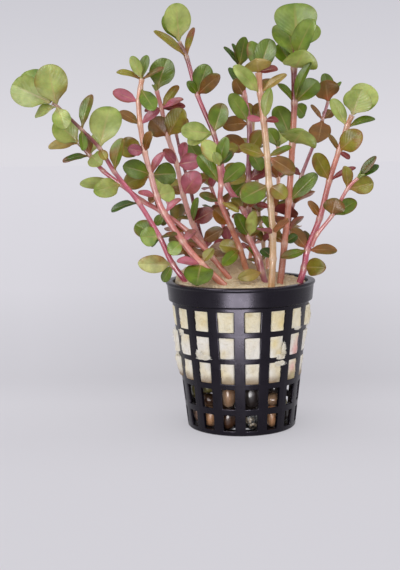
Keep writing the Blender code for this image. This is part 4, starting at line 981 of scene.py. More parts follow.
def floor_material():
    """Pale card that glows a little, as if lit from beneath, so that shadows on it stay weak. Behind
    the pot it is darker, as painted shadow.
    """
    material, nodes = new_material("pale floor")
    place = nodes.place()
    parts = nodes.parts(place)
    back = nodes.fit(parts["Y"], FLOOR_NEAR * MM, FLOOR_FAR * MM, 0.0, 1.0)
    tint = Vector(FLOOR_TINT)
    # The floor's tones by distance, with painted shadow behind the pot and painted light round its
    # foot
    stops = [((away - FLOOR_NEAR) / (FLOOR_FAR - FLOOR_NEAR), tint * bright)
             for away, bright in FLOOR_TONES_WITH_PAINTED_SHADOW]
    colour = nodes.ramp(back, stops)
    length = nodes.node("ShaderNodeVectorMath", {0: place}, operation="LENGTH").outputs["Value"]
    away = nodes.fit(length, *FLOOR_FADE, 0.0, 1.0)
    colour = nodes.mix(away, colour, tint * FLOOR_TONES_WITH_PAINTED_SHADOW[-1][1])
    # Painted shadow: a patch behind the pot, darkest in line with it and a little lighter to the
    # sides
    distance = nodes.math("ADD", parts["Y"], -CAMERA_AT[1] * MM)
    aside = nodes.math("DIVIDE", nodes.math("ABSOLUTE", parts["X"]), distance)
    shade = nodes.fit(aside, *PAINTED_SHADOW_SIDES, *PAINTED_SHADOW_SHADES)
    begins = nodes.fit(parts["Y"], *PAINTED_SHADOW_BEGINS, 0.0, 1.0)
    ends = nodes.fit(parts["Y"], *PAINTED_SHADOW_ENDS, 1.0, 0.0)
    shaded = nodes.multiply(colour, nodes.grey(shade))
    colour = nodes.mix(nodes.math("MULTIPLY", begins, ends), colour, shaded)
    # Painted light: half of the floor's colour is given off by the floor itself
    dimmed = nodes.multiply(colour, (1 - FLOOR_GLOW,) * 3)
    nodes.surface(Base_Color=nodes.multiply(dimmed, (1 / FLOOR_LIGHT,) * 3), Roughness=0.9,
                  Specular_IOR_Level=0.0, Emission_Color=colour, Emission_Strength=FLOOR_GLOW)
    return material


# Net pot

def wall_radius(z):
    return WALL_RADIUS_LOW + (WALL_RADIUS_HIGH - WALL_RADIUS_LOW) * z / WALL_RADIUS_HIGH_AT


def rib_half(radius):
    """Half a rib's width as an angle."""
    return min(RIB_WIDTH / 2 / radius, math.pi / RIBS / 2)


def window_opening(z):
    """Half a window's width as an angle."""
    return math.pi / RIBS - rib_half(wall_radius(z))


def window_middle(column):
    """The angle of the middle of a window, to the right of the rib with that number."""
    return math.radians(FIRST_RIB_TURN + 360 * (column + 0.5) / RIBS - 90)


def rounded_outline(half_width, half_height, corner):
    """Points round a rectangle with round corners, and the sides of the cell that each faces."""
    points = []
    corners = ((1, 1), (-1, 1), (-1, -1), (1, -1))
    for number, (right, up) in enumerate(corners):
        centre_x = right * (half_width - corner)
        centre_y = up * (half_height - corner)
        for step in range(CORNER_STEPS + 1):
            turn = math.radians(90 * (number + step / CORNER_STEPS))
            x = centre_x + corner * math.cos(turn)
            y = centre_y + corner * math.sin(turn)
            side = (right, up)
            if step in (0, CORNER_STEPS):
                side = (round(math.cos(turn)), round(math.sin(turn)))
            points.append((x, y, side))
        end_x, end_y, side = points[-1]
        next_right, next_up = corners[(number + 1) % len(corners)]
        turn = math.radians(90 * (number + 1))
        next_x = next_right * (half_width - corner) + corner * math.cos(turn)
        next_y = next_up * (half_height - corner) + corner * math.sin(turn)
        for step in range(1, SIDE_STEPS):
            share = step / SIDE_STEPS
            points.append((end_x + (next_x - end_x) * share, end_y + (next_y - end_y) * share, side))
    return points


def add_window(shape, place, half_width, half_height, cell_width, cell_low, cell_high):
    """One cell of the lattice: both faces, and the rounded edge of the opening between them."""
    edge = WINDOW_EDGE
    soft = edge * ROUND_SHARE
    flat = edge * RIM_SHARE
    steps = ((flat, 0), (edge, 0), (soft, soft), (0, edge), (0, WALL - edge), (soft, WALL - soft),
             (edge, WALL), (flat, WALL))
    rings = []
    for out, depth in steps:
        outline = rounded_outline(half_width + out, half_height + out, WINDOW_CORNER + out)
        rings.append([shape.point(place(x, y, depth)) for x, y, _ in outline])
    shape.skin(rings)
    outline = rounded_outline(half_width + flat, half_height + flat, WINDOW_CORNER + flat)
    for ring, depth, turned in ((rings[0], 0, True), (rings[-1], WALL, False)):
        rim = []
        known = {}
        for x, y, (right, up) in outline:
            cell_x = right * cell_width if right else x
            cell_y = (cell_high if up > 0 else cell_low) if up else y
            key = (round(cell_x, SAME_DIGITS), round(cell_y, SAME_DIGITS))
            if key not in known:
                known[key] = shape.point(place(cell_x, cell_y, depth))
            rim.append(known[key])
        for i in range(len(ring)):
            j = (i + 1) % len(ring)
            corners = [ring[i], ring[j], rim[j], rim[i]]
            if rim[i] == rim[j]:
                corners.pop()
            shape.face(list(reversed(corners)) if turned else corners)


def add_wall_windows(shape):
    bars = [(high[0] + low[1]) / 2 for low, high in zip(WINDOW_ROWS, WINDOW_ROWS[1:])]
    bounds = [EDGE_ROUND] + bars + [COLLAR_FROM - COLLAR_CHAMFER]
    for column in range(RIBS):
        middle = window_middle(column)
        for row, (low, high) in enumerate(WINDOW_ROWS):
            z_middle = (low + high) / 2
            radius = wall_radius(z_middle)
            cell_width = radius * math.pi / RIBS
            half_width = cell_width - radius * rib_half(radius)

            def place(x, y, depth):
                z = z_middle + y
                opening = window_opening(z)
                if abs(x) <= half_width:
                    turn = x / half_width * opening
                else:
                    rest = (abs(x) - half_width) / (cell_width - half_width)
                    turn = math.copysign(opening + rest * (math.pi / RIBS - opening), x)
                return polar(middle + turn, wall_radius(z) - depth, z)

            add_window(shape, place, half_width, (high - low) / 2, cell_width,
                       bounds[row] - z_middle, bounds[row + 1] - z_middle)


def add_floor_slots(shape, inner, outer):
    middle_radius = (FLOOR_SLOT_FROM + FLOOR_SLOT_TO) / 2
    cell_width = middle_radius * math.pi / RIBS
    half_width = cell_width / 2
    for column in range(RIBS):
        middle = window_middle(column)

        def place(x, y, depth):
            return polar(middle + x / middle_radius, middle_radius + y, depth)

        add_window(shape, place, half_width, (FLOOR_SLOT_TO - FLOOR_SLOT_FROM) / 2, cell_width,
                   inner - middle_radius, outer - middle_radius)


def add_lathe(shape, profile, closed=False):
    """Turns a line of (radius, height) points about the Z axis."""
    count = RIBS * LATHE_STEPS
    rings = []
    for radius, z in profile:
        ring = []
        for i in range(count):
            turn = math.radians(FIRST_RIB_TURN - 90) + 2 * math.pi * i / count
            ring.append(shape.point(polar(turn, radius, z)))
        rings.append(ring)
    shape.skin(rings)
    if closed:
        shape.face(rings[-1])


def make_pot():
    shape = Shape()
    add_wall_windows(shape)
    slot_inner = FLOOR_SLOT_FROM - SLOT_MARGIN
    slot_outer = FLOOR_SLOT_TO + SLOT_MARGIN
    add_floor_slots(shape, slot_inner, slot_outer)
    soft = EDGE_ROUND
    middle = soft * ROUND_SHARE
    shoulder = soft * SHOULDER_SHARE
    start = COLLAR_FROM - COLLAR_CHAMFER
    collar = wall_radius(COLLAR_FROM) + COLLAR_STEP
    lip = wall_radius(LIP_FROM) + COLLAR_STEP
    inner_top = wall_radius(POT_HEIGHT) - WALL
    add_lathe(shape, [
        (wall_radius(start), start),
        (collar - soft, COLLAR_FROM),
        (collar - middle, COLLAR_FROM + middle),
        (collar, COLLAR_FROM + soft),
        (collar + COLLAR_BELLY, COLLAR_FROM + shoulder),
        (lip - LIP_TUCK, LIP_FROM - shoulder),
        (lip - LIP_SOFT, LIP_FROM - soft),
        (lip, LIP_FROM - LIP_SOFT),
        (POT_TOP_RADIUS - LIP_SOFT, LIP_FROM + LIP_SOFT),
        (POT_TOP_RADIUS, LIP_FROM + soft),
        (POT_TOP_RADIUS, POT_HEIGHT - soft),
        (POT_TOP_RADIUS - middle, POT_HEIGHT - middle),
        (POT_TOP_RADIUS - soft, POT_HEIGHT),
        (inner_top + soft, POT_HEIGHT),
        (inner_top + middle, POT_HEIGHT - middle),
        (inner_top, POT_HEIGHT - soft),
        (wall_radius(start) - WALL, start),
    ])
    add_lathe(shape, [
        (slot_outer, 0.0),
        (wall_radius(0) - soft * RIM_SHARE, 0.0),
        (wall_radius(0) - soft * DISC_SHARE, middle),
        (wall_radius(soft), soft),
    ])
    add_lathe(shape, [
        (wall_radius(soft) - WALL, soft),
        (wall_radius(WALL) - WALL, WALL),
        (slot_outer, WALL),
    ])
    for z in (WALL, 0.0):
        add_lathe(shape, [(slot_inner, z), (slot_inner * DISC_SHARE, z)], closed=True)
    made = shape.make("pot_shell", [pot_material()], POT_SHARP_ANGLE)
    finish_piece(made, ["net_pot"])


# Rock wool

def wool_top(x, y):
    away = (x - WOOL_MOUND_AT[0]) ** 2 + (y - WOOL_MOUND_AT[1]) ** 2
    return WOOL_EDGE_TOP + WOOL_MOUND * math.exp(-away / (2 * WOOL_MOUND_SPREAD ** 2))


def wool_side(column, across, z, inside):
    """A point of the wool's side; inside a window it comes out nearly flush with the pot's wall.
    Across runs from -1 to 1 over the window, and on to the middles of the ribs."""
    opening = window_opening(z) - WOOL_WINDOW_GAP / wall_radius(z)
    turn = across * opening
    if abs(across) > 1:
        turn = math.copysign(opening + (abs(across) - 1) * (math.pi / RIBS - opening), across)
    turn += window_middle(column)
    base = wall_radius(z) - WALL - WOOL_GAP
    out = 0.0
    if inside and abs(across) < 1:
        place = polar(turn, base, z)
        round_edge = 1 - WOOL_ROUND * abs(across) ** WOOL_ROUND_POWER
        out = (WALL - WOOL_FLUSH) * round_edge + WOOL_GAP
        out += uneven(place, WOOL_ROUGH, seed=3.0)
        out += uneven(place, WOOL_PUFF, seed=8.0)
        out += proud_wool(turn, z)
    return polar(turn, base + out, z)


def proud_wool(turn, z):
    """How far the wool stands out past the wall where it has swollen through the windows."""
    out = 0.0
    for heading, height, reach, spread in PROUD_PLACES:
        off = math.degrees(turn) - heading
        off = (off + 180) % 360 - 180
        away = (off / PROUD_WIDTH) ** 2 + ((z - height) / spread) ** 2
        out = max(out, reach * math.exp(-away))
    return out


def wool_crown(x, y):
    """A point of the wool's uneven top, which is even beside the pot's lip."""
    z = wool_top(x, y)
    lumps = uneven((x, y, z), CROWN_LUMPS, seed=5.0)
    grain = uneven((x, y, z), CROWN_GRAIN, seed=9.0)
    fade = min(1.0, (wall_radius(POT_HEIGHT) - WALL - math.hypot(x, y)) / CROWN_FADE)
    return Vector((x, y, z + (lumps + grain) * fade - CROWN_DROP))


def wool_shade(place):
    """The wool's tint: cream in the top row of windows, white below, darker and browner towards the
    foot, tan on top.
    """
    cream = Vector(WOOL_CREAM)
    patch = cloud(place, size=5.0, seed=2.0)
    fine = cloud(place, size=2.2, seed=6.0)
    tint = Vector(WOOL_WHITE).lerp(cream, clamped((place.z - CREAM_FROM) / CREAM_OVER))
    if place.z < WHITE_FROM:
        tint = tint.lerp(cream, CREAM_PATCHES * patch)
    yellow = max(0.0, patch - 0.5) * YELLOW_SLOPE
    tint = tint.lerp(Vector(YELLOW), min(YELLOW_MOST, yellow))
    # Darker and browner towards the foot of the plug
    foot_tint = max(0.0, 1 - (place.z - WOOL_BOTTOM) / FOOT_TINT_OVER)
    foot_tint *= min(1.0, FOOT_TINT_LEAST + FOOT_TINT_PATCHES * fine)
    tint = tint.lerp(Vector(WOOL_FOOT_TINT), foot_tint)
    for x, y, z, reach, colour in STAINS:
        away = (place - Vector((x, y, z))).length / reach
        tint = tint.lerp(Vector(colour), math.exp(-away * away))
    top = clamped((place.z - WOOL_EDGE_TOP + TAN_BELOW_TOP) / TAN_OVER)
    return tint.lerp(Vector(WOOL_TAN), top) * (FINE_SHADES[0] + FINE_SHADES[1] * fine)


def shaded_ring(shape, places, shade):
    return [shape.point(place, shade(place)) for place in places]


def add_strand(shape, rng, points, thicks, shades, shade=wool_shade):
    """A thin strand through the points, with a thickness and a brightness from their ranges."""
    thick = rng.uniform(*thicks)
    tint = shade(points[len(points) // 2]) * rng.uniform(*shades)
    rings = []
    for index, place in enumerate(points):
        ahead = points[min(index + 1, len(points) - 1)] - points[max(index - 1, 0)]
        side = ahead.cross(Vector(STRAND_TILT)).normalized()
        other = ahead.cross(side).normalized()
        width = thick * (STRAND_ENDS if index in (0, len(points) - 1) else 1.0)
        ring = []
        for corner in range(STRAND_SIDES):
            turn = 2 * math.pi * corner / STRAND_SIDES
            off = (side * math.cos(turn) + other * math.sin(turn)) * width
            ring.append(shape.point(place + off, tint))
        rings.append(ring)
    shape.skin(rings)


def add_window_strands(shape, rng):
    for low, high in WINDOW_ROWS[FIRST_WOOL_ROW:]:
        for column in range(RIBS):
            for _ in range(FIBRES_PER_WINDOW):
                z = rng.uniform(low + WINDOW_MARGIN, high - WINDOW_MARGIN)
                across = rng.uniform(-WINDOW_SPAN, WINDOW_SPAN)
                heading = rng.uniform(0, 2 * math.pi)
                reach = rng.uniform(*WINDOW_STRAND)
                points = []
                for step in range(STRAND_POINTS):
                    heading += rng.uniform(-WINDOW_BEND, WINDOW_BEND)
                    along = (step / (STRAND_POINTS - 1) - 0.5) * reach
                    at_z = clamped(z + math.sin(heading) * along,
                                   low + WINDOW_END_MARGIN, high - WINDOW_END_MARGIN)
                    at_across = clamped(across + math.cos(heading) * along * WINDOW_REACH,
                                        -WINDOW_END_SPAN, WINDOW_END_SPAN)
                    base = wool_side(column, at_across, at_z, True)
                    lift = 1 + rng.uniform(*WINDOW_LIFT) / base.xy.length
                    points.append(Vector((base.x * lift, base.y * lift, base.z)))
                add_strand(shape, rng, points, FINE_STRAND, WINDOW_SHADES)


def add_top_strands(shape, rng):
    edge = wall_radius(WOOL_EDGE_TOP) - WALL - TOP_MARGIN
    for _ in range(TOP_FIBRES):
        turn = rng.uniform(0, 2 * math.pi)
        away = edge * math.sqrt(rng.random())
        start = polar(turn, away, 0)
        heading = rng.uniform(0, 2 * math.pi)
        points = []
        for _ in range(STRAND_POINTS):
            heading += rng.uniform(-TOP_BEND, TOP_BEND)
            way = Vector((math.cos(heading), math.sin(heading), 0))
            start = start + way * rng.uniform(*TOP_STEP)
            if math.hypot(start.x, start.y) > edge + TOP_OVER:
                start = start * (edge / math.hypot(start.x, start.y))
            points.append(wool_crown(start.x, start.y) + Vector((0, 0, rng.uniform(*TOP_LIFT))))
        add_strand(shape, rng, points, COARSE_STRAND, TOP_SHADES)


def lump_shade(place):
    """The tint of the wool outside the pot, whiter than the plug."""
    return wool_shade(place).lerp(Vector(WHITE), LUMP_WHITENESS)


def add_lump(shape, rng, heading, height, half_width, half_height, thick):
    """A soft patch of wool that lies on the outside of the pot, with strands over it."""
    seed = heading * LUMP_SEED

    def surface(reach, turn, lift):
        right, up = math.cos(turn), math.sin(turn)
        square = (right ** 4 + up ** 4) ** -0.25
        way = (right, up, 0)
        rough = 1 + uneven(way, LUMP_COARSE, seed) + uneven(way, LUMP_FINE, seed)
        across = reach * rough * square * half_width * right
        z = height + reach * rough * square * half_height * up
        radius = wall_radius(z)
        return polar(math.radians(heading) + across / radius, radius + lift, z)

    def dome(reach, turn):
        bumps = 1 + uneven(surface(reach, turn, 0), LUMP_BUMPS, seed)
        return LUMP_LIFT + thick * max(0.0, 1 - reach ** 2) ** 0.5 * bumps

    turns = [2 * math.pi * i / LUMP_SIDES for i in range(LUMP_SIDES)]
    rings = []
    for reach in LUMP_RINGS:
        places = [surface(reach, turn, dome(reach, turn)) for turn in turns]
        rings.append(shaded_ring(shape, places, lump_shade))
    reach, lift = LUMP_FOOT
    foot = shaded_ring(shape, [surface(reach, turn, lift) for turn in turns], lump_shade)
    rings.append(foot)
    for inner, outer in zip(rings, rings[1:]):
        shape.bridge(outer, inner)
    shape.face(rings[0])
    shape.face(list(reversed(foot)))
    for _ in range(LUMP_FIBRES):
        reach = LUMP_SPAN * math.sqrt(rng.random())
        turn = rng.uniform(0, 2 * math.pi)
        bend = rng.uniform(-LUMP_BEND, LUMP_BEND)
        points = []
        for _ in range(STRAND_POINTS):
            reach = clamped(reach + rng.uniform(*LUMP_STEP), *LUMP_REACH)
            turn += bend * rng.uniform(*LUMP_TURN)
            lift = rng.uniform(*LUMP_RAISE) + STRAY_RAISE * rng.random() ** STRAY_POWER
            points.append(surface(reach, turn, dome(reach, turn) + lift))
        add_strand(shape, rng, points, FINE_STRAND, LUMP_SHADES, lump_shade)


def wool_levels():
    """Heights of the wool's rings, and whether each lies in a row of windows."""
    levels = [(WOOL_BOTTOM - skirt, False) for skirt in WOOL_SKIRTS]
    for low, high in WINDOW_ROWS[FIRST_WOOL_ROW:]:
        levels.append((low + WOOL_WINDOW_GAP * 0.5, False))
        for step in range(WOOL_ROW_STEPS + 1):
            share = step / WOOL_ROW_STEPS
            rise = (high - low - 2 * WOOL_WINDOW_GAP) * share
            levels.append((low + WOOL_WINDOW_GAP + rise, True))
        levels.append((high - WOOL_WINDOW_GAP * 0.5, False))
    levels.append((WOOL_EDGE_TOP - WOOL_RIM, False))
    return levels


def make_wool():
    shape = Shape()
    columns = [(column, across) for column in range(RIBS) for across in WOOL_ACROSS]
    rings = []
    for z, inside in wool_levels():
        places = [wool_side(column, across, z, inside) for column, across in columns]
        rings.append(shaded_ring(shape, places, wool_shade))
    edge = wall_radius(WOOL_EDGE_TOP) - WALL - WOOL_GAP
    rim = [wool_side(column, across, WOOL_EDGE_TOP, False) for column, across in columns]
    turns = [math.atan2(place.y, place.x) for place in rim]
    for step in range(WOOL_TOP_STEPS):
        radius = edge * (1 - (step + WOOL_RIM_SHARE) / WOOL_TOP_STEPS)
        places = [wool_crown(radius * math.cos(turn), radius * math.sin(turn)) for turn in turns]
        rings.append(shaded_ring(shape, places, wool_shade))
    shape.skin(rings)
    shape.face(list(reversed(rings[0])))
    shape.face(rings[-1])
    rng = random.Random("wool")
    add_window_strands(shape, rng)
    add_top_strands(shape, rng)
    for lump in LUMPS:
        add_lump(shape, rng, *lump)
    made = shape.make("wool_plug", [wool_material()], WOOL_SHARP_ANGLE)
    finish_piece(made, ["rock_wool"])


# Stones

def make_stones(nodes):
    """A smooth stone in place of each angular one, swollen a little to keep its size."""
    materials = {kind: stone_material(kind, *looks) for kind, looks in STONE_KINDS.items()}
    names = sorted(name for name in nodes if name.startswith("pebble_"))
    swell = Matrix.Diagonal((*STONE_SWELL, 1))
    for name, kind in zip(names, STONE_TONES):
        mesh = nodes[name].data.copy()
        mesh.name = name + "_smooth"
        mesh.materials.clear()
        mesh.materials.append(materials[kind])
        centre = sum((each.co for each in mesh.vertices), Vector()) / len(mesh.vertices)
        mesh.transform(Matrix.Translation(centre) @ swell @ Matrix.Translation(-centre))
        made = put_in_scene(mesh.name, mesh)
        weld = made.modifiers.new("weld", "WELD")
        weld.merge_threshold = STONE_WELD * MM
        smooth = made.modifiers.new("smooth", "SUBSURF")
        smooth.levels = STONE_FINENESS
        smooth.render_levels = STONE_FINENESS
        finish_piece(made, [name])


# Layout of stems and leaves

class Leaf:
    """A blade with its base on a stem node, and the points that its middle surface runs through."""

    def __init__(self, shoot, node, base, along, normal, length, width, tone):
        self.shoot = shoot
        self.node = node
        self.base = base
        self.along = along.normalized()
        self.across = self.along.cross(normal).normalized()
        self.normal = self.across.cross(self.along)
        self.length = length
        self.width = width
        self.tone = tone
        self.sampled = []

    def surface(self, along_share, across_share):
        """A point of the middle surface; the edges rise towards the upper face."""
        rise = LEAF_CUP * self.width * abs(across_share) * 2
        return (self.base + self.along * (self.length * along_share)
                + self.across * (self.width * across_share) + self.normal * rise)

    def samples(self):
        if not self.sampled:
            for step in range(FIRST_SAMPLE, LEAF_SAMPLES + 1):
                half = half_width_share(step / LEAF_SAMPLES)
                for side in SAMPLE_SIDES:
                    self.sampled.append(self.surface(step / LEAF_SAMPLES, side * half))
        return self.sampled


def half_width_share(share):
    """Half the width at a share of the length, as a share of the full width. It is widest beyond
    the middle."""
    return 0.5 * math.sin(math.pi * clamped(share) ** LEAF_SPREAD) ** LEAF_ROUNDNESS


def leaf_from_front(clock, lean, facing):
    """Directions along a leaf and off its upper face, given as they look from the front."""
    turn = math.radians(clock)
    tip = math.radians(lean)
    along = Vector((math.sin(turn) * math.cos(tip), -math.sin(tip), math.cos(turn) * math.cos(tip)))
    flat = Vector((math.cos(turn), 0, -math.sin(turn)))
    to_front = flat.cross(along)
    roll = math.radians(90 - facing) * math.copysign(1, math.sin(turn))
    across = flat * math.cos(roll) + to_front * math.sin(roll)
    return along, across.cross(along)


def foreshortening(lean, new_lean):
    """How much longer a leaf has to be to look as long from the front once it leans more."""
    shorter = max(LEAST_SHORTENING, math.cos(math.radians(new_lean)))
    return min(LONGEST_STRETCH, math.cos(math.radians(lean)) / shorter)


def stem_axis(points, index):
    before = points[max(0, index - 1)]
    after = points[min(len(points) - 1, index + 1)]
    return (after - before).normalized()


def off_axis(axis, heading):
    """A direction square to a stem's axis, at an angle about it."""
    side = axis.cross(Vector((0, 1, 0))).normalized()
    front = side.cross(axis)
    return side * math.cos(heading) + front * math.sin(heading)


def shoot_points(nodes):
    points = [Vector(place) for place, _ in nodes]
    if points[0].z == 0:
        foot = points[0]
        foot.z = wool_top(foot.x, foot.y)
        down = (foot - points[1]).normalized()
        points[0] = foot + down * ROOT_DEPTH
    return points


def stem_curve(points, index, share):
    """A smooth curve through the nodes."""
    p1, p2 = points[index], points[index + 1]
    p0 = points[index - 1] if index else p1 * 2 - p2
    p3 = points[index + 2] if index + 2 < len(points) else p2 * 2 - p1
    return 0.5 * (2 * p1 + (p2 - p0) * share + (2 * p0 - 5 * p1 + 4 * p2 - p3) * share ** 2
                  + (3 * p1 - p0 - 3 * p2 + p3) * share ** 3)


def ordinary_pair(name, points, index):
    """Two opposite leaves, a quarter turn round from the pair below, and a smaller pair across."""
    rng = random.Random(f"{name} {index}")
    axis = stem_axis(points, index)
    turn = math.radians(90 * index + rng.uniform(-PAIR_TURN, PAIR_TURN) + PAIR_START)
    pair = []
    for quarter, size in ((0, 1.0), (2, 1.0), (1, PAIR_BUD), (3, PAIR_BUD)):
        out = off_axis(axis, turn + quarter * math.pi / 2)
        spread = math.radians(PAIR_SPREAD + rng.uniform(*PAIR_SPREADS))
        along = axis * math.cos(spread) + out * math.sin(spread)
        normal = axis * math.sin(spread) - out * math.cos(spread)
        length = PAIR_LENGTH * size * rng.uniform(*PAIR_SIZES)
        tone = rng.choice(PAIR_TONES)
        pair.append((along, normal, length, length * PAIR_RATIO, tone))
    return pair


def hits_pot(point):
    radius = math.hypot(point.x, point.y)
    if radius > POT_TOP_RADIUS + POT_CLEARANCE:
        return False
    if radius > wall_radius(POT_HEIGHT) - WALL - POT_CLEARANCE:
        return point.z < POT_HEIGHT + POT_CLEARANCE
    return point.z < wool_top(point.x, point.y) + POT_CLEARANCE


def blocked(leaf, placed, stems):
    points = leaf.samples()
    if any(hits_pot(point) for point in points):
        return True
    centre = leaf.surface(LEAF_CENTRE, 0)
    for other in placed:
        reach = (other.length + leaf.length) * NEAR_SHARE + NEAR_MARGIN
        if (other.surface(LEAF_CENTRE, 0) - centre).length > reach:
            continue
        own = other.shoot == leaf.shoot
        apart = OWN_CLEARANCE if own else CLEARANCE
        skip = STALK_SAMPLES if own and other.node == leaf.node else 0
        for point in points[skip:]:
            if any((point - each).length < apart for each in other.samples()[skip:]):
                return True
    for name, node, place, radius in stems:
        own = name == leaf.shoot
        if own and abs(node - leaf.node) < OWN_NODE_SPAN:
            continue
        if (place - centre).length > leaf.length + STEM_MARGIN:
            continue
        apart = radius + (OWN_STEM_CLEARANCE if own else STEM_CLEARANCE)
        if any((point - place).length < apart for point in points):
            return True
    return False


def stem_samples():
    samples = []
    for name, (radius, _, nodes) in SHOOTS.items():
        points = shoot_points(nodes)
        for index in range(len(points) - 1):
            for step in range(STEM_SAMPLES):
                share = step / STEM_SAMPLES
                samples.append((name, index + share, stem_curve(points, index, share), radius))
        samples.append((name, len(points) - 1, points[-1], radius))
    return samples


def fit_leaf(make, placed, stems):
    """Tries a leaf as given, then leaned or smaller, and keeps the first that touches nothing."""
    for size in SIZE_TRIES:
        for lean in LEAN_TRIES:
            leaf = make(lean, size)
            if not blocked(leaf, placed, stems):
                placed.append(leaf)
                return


def lay_out_leaves():
    """Places the leaves that show from the front first, and the ordinary pairs round them."""
    stems = stem_samples()
    placed = []
    for name, (_, _, nodes) in SHOOTS.items():
        points = shoot_points(nodes)
        for index, (_, leaves) in enumerate(nodes):
            for clock, length, width, lean, facing, tone in leaves or []:
                def make(more, size):
                    along, normal = leaf_from_front(clock, lean + more, facing)
                    stretch = foreshortening(lean, lean + more)
                    return Leaf(name, index, points[index], along, normal,
                                length * size * stretch, width * size, tone)
                fit_leaf(make, placed, stems)
    for name, (_, _, nodes) in SHOOTS.items():
        points = shoot_points(nodes)
        for index, (_, leaves) in enumerate(nodes):
            if leaves is not None:
                continue
            for along, normal, length, width, tone in ordinary_pair(name, points, index):
                def make(more, size):
                    turned = along + normal * math.sin(math.radians(more))
                    return Leaf(name, index, points[index], turned, normal,
                                length * size, width * size, tone)
                fit_leaf(make, placed, stems)
    return placed


# Fine stems and leaves

def blade_half(share, leaf):
    """Half the blade's width, drawn in to a short stalk at the base and blunt at the tip."""
    half = half_width_share(share / BLADE_TIP)
    if share / BLADE_TIP > WIDEST:
        half = 0.5 * (2 * half) ** (TIP_ROUNDNESS / LEAF_ROUNDNESS)
    half *= leaf.width
    if share < STALK_END:
        half = max(STALK_HALF, half * (share / STALK_END) ** STALK_DRAWN_IN)
    return half


def blade_height(share, across, upper, free):
    """How far a face lies off the blade's middle surface, with the midrib's groove and ridge."""
    if abs(across) == 1.0:
        return 0.0
    thick = BLADE_THICK + (BLADE_EDGE_THICK - BLADE_THICK) * abs(across) ** 2
    if share <= STALK_END:
        thick *= 1.0 + STALK_THICKER * (1 - share / STALK_END)
    rib = math.exp(-(across / MIDRIB_WIDTH) ** 2)
    if upper:
        return thick / 2 - MIDRIB_GROOVE * rib * free
    return -thick / 2 - MIDRIB_RIDGE * rib * (1 - RIDGE_FADE * share)


def leaf_colour(tones, along, across, upper, flush):
    """Paler towards the stalk, and the edge's tone along the rim and where the flush is strong."""
    face, stalk, edge, under = tones
    colour = face if upper else under
    near_stalk = max(0.0, 1 - along / STALK_TONE_END) ** STALK_TONE_POWER
    near_stalk *= STALK_TONE - STALK_TONE_FALL * abs(across)
    colour = colour.lerp(stalk, min(1.0, near_stalk))
    rim = abs(across) ** RIM_TONE_POWER * RIM_TONE + max(0.0, along - TIP_TONE_FROM) * TIP_TONE
    return colour.lerp(edge, clamped(rim + flush))


def add_leaf(shape, leaf, rng):
    """A thin cupped blade with a groove along its midrib, a ridge under it and wavy edges."""
    tones = [screen(colour) for colour in LEAF_TONES[leaf.tone]]
    if rng.random() < RED_EDGES.get(leaf.tone, USUAL_RED_EDGES):
        tones[2] = tones[2].lerp(screen(RED_EDGE), rng.uniform(*RED_SHARES))
    arch = BLADE_ARCH * leaf.length * rng.uniform(*ARCHES)
    wave = BLADE_WAVE * leaf.width * rng.uniform(*WAVINESS)
    twist = math.radians(rng.uniform(*TWISTS))
    deep = LEAF_CUP * leaf.width * rng.uniform(*CUPS)
    phase = rng.uniform(0, 2 * math.pi)
    shade = rng.uniform(*LEAF_SHADES)
    seed = rng.uniform(*LEAF_SEEDS)
    around = [(across, True) for across in BLADE_ACROSS]
    around += [(across, False) for across in reversed(BLADE_ACROSS[1:-1])]
    rings = []
    for step in range(BLADE_STEPS + 1):
        grow = math.sin(math.pi / 2 * step / BLADE_STEPS)
        share = BLADE_START + (BLADE_TIP - BLADE_START) * grow
        half = blade_half(share, leaf) if step < BLADE_STEPS else BLADE_TIP_HALF
        free = min(1.0, share / BLADE_FREE_FROM)
        turn = twist * share
        side = leaf.across * math.cos(turn) + leaf.normal * math.sin(turn)
        up = leaf.normal * math.cos(turn) - leaf.across * math.sin(turn)
        middle = leaf.base + leaf.along * (leaf.length * share)
        bend = arch * (4 * share * (1 - share)) * free
        ring = []
        for across, upper in around:
            off = across * half
            cup = deep * (2 * abs(off) / leaf.width) ** CUP_POWER
            ripple = wave * math.sin(phase + WAVES * math.pi * share + across) * across ** 2
            height = blade_height(share, across, upper, free)
            place = middle + side * off + up * (cup + bend + ripple * free + height)
            flush = uneven(place, LEAF_FLUSH, seed) + uneven(place, LEAF_FLECK, seed)
            colour = leaf_colour(tones, share, across, upper, flush)
            bright = shade * (1 + uneven(place, LEAF_PATCH, seed + PATCH_SEED))
            # Painted shade: a darker line along the blade's edge, where it curves away
            bright *= 1 - PAINTED_EDGE_SHADE * abs(across) ** PAINTED_EDGE_SHADE_POWER
            ring.append(shape.point(place, colour * bright, 0.5 + 0.5 * across, share))
        rings.append(ring)
    shape.skin(rings, LEAF_SLOT)
    shape.face(rings[-1], LEAF_SLOT)


def add_bud(shape, name, rng):
    """Very small leaves that still stand together at the stem's tip."""
    points = shoot_points(SHOOTS[name][2])
    axis = stem_axis(points, len(points) - 1)
    turn = rng.uniform(0, math.pi)
    base = points[-1] - axis * BUD_SUNK
    for number in range(BUD_LEAVES):
        out = off_axis(axis, turn + number * 2 * math.pi / BUD_LEAVES)
        along = axis + out * BUD_SPREAD
        leaf = Leaf(name, 0, base, along, axis - out, BUD_LENGTH, BUD_LENGTH * BUD_WIDTH, BUD_TONE)
        add_leaf(shape, leaf, rng)


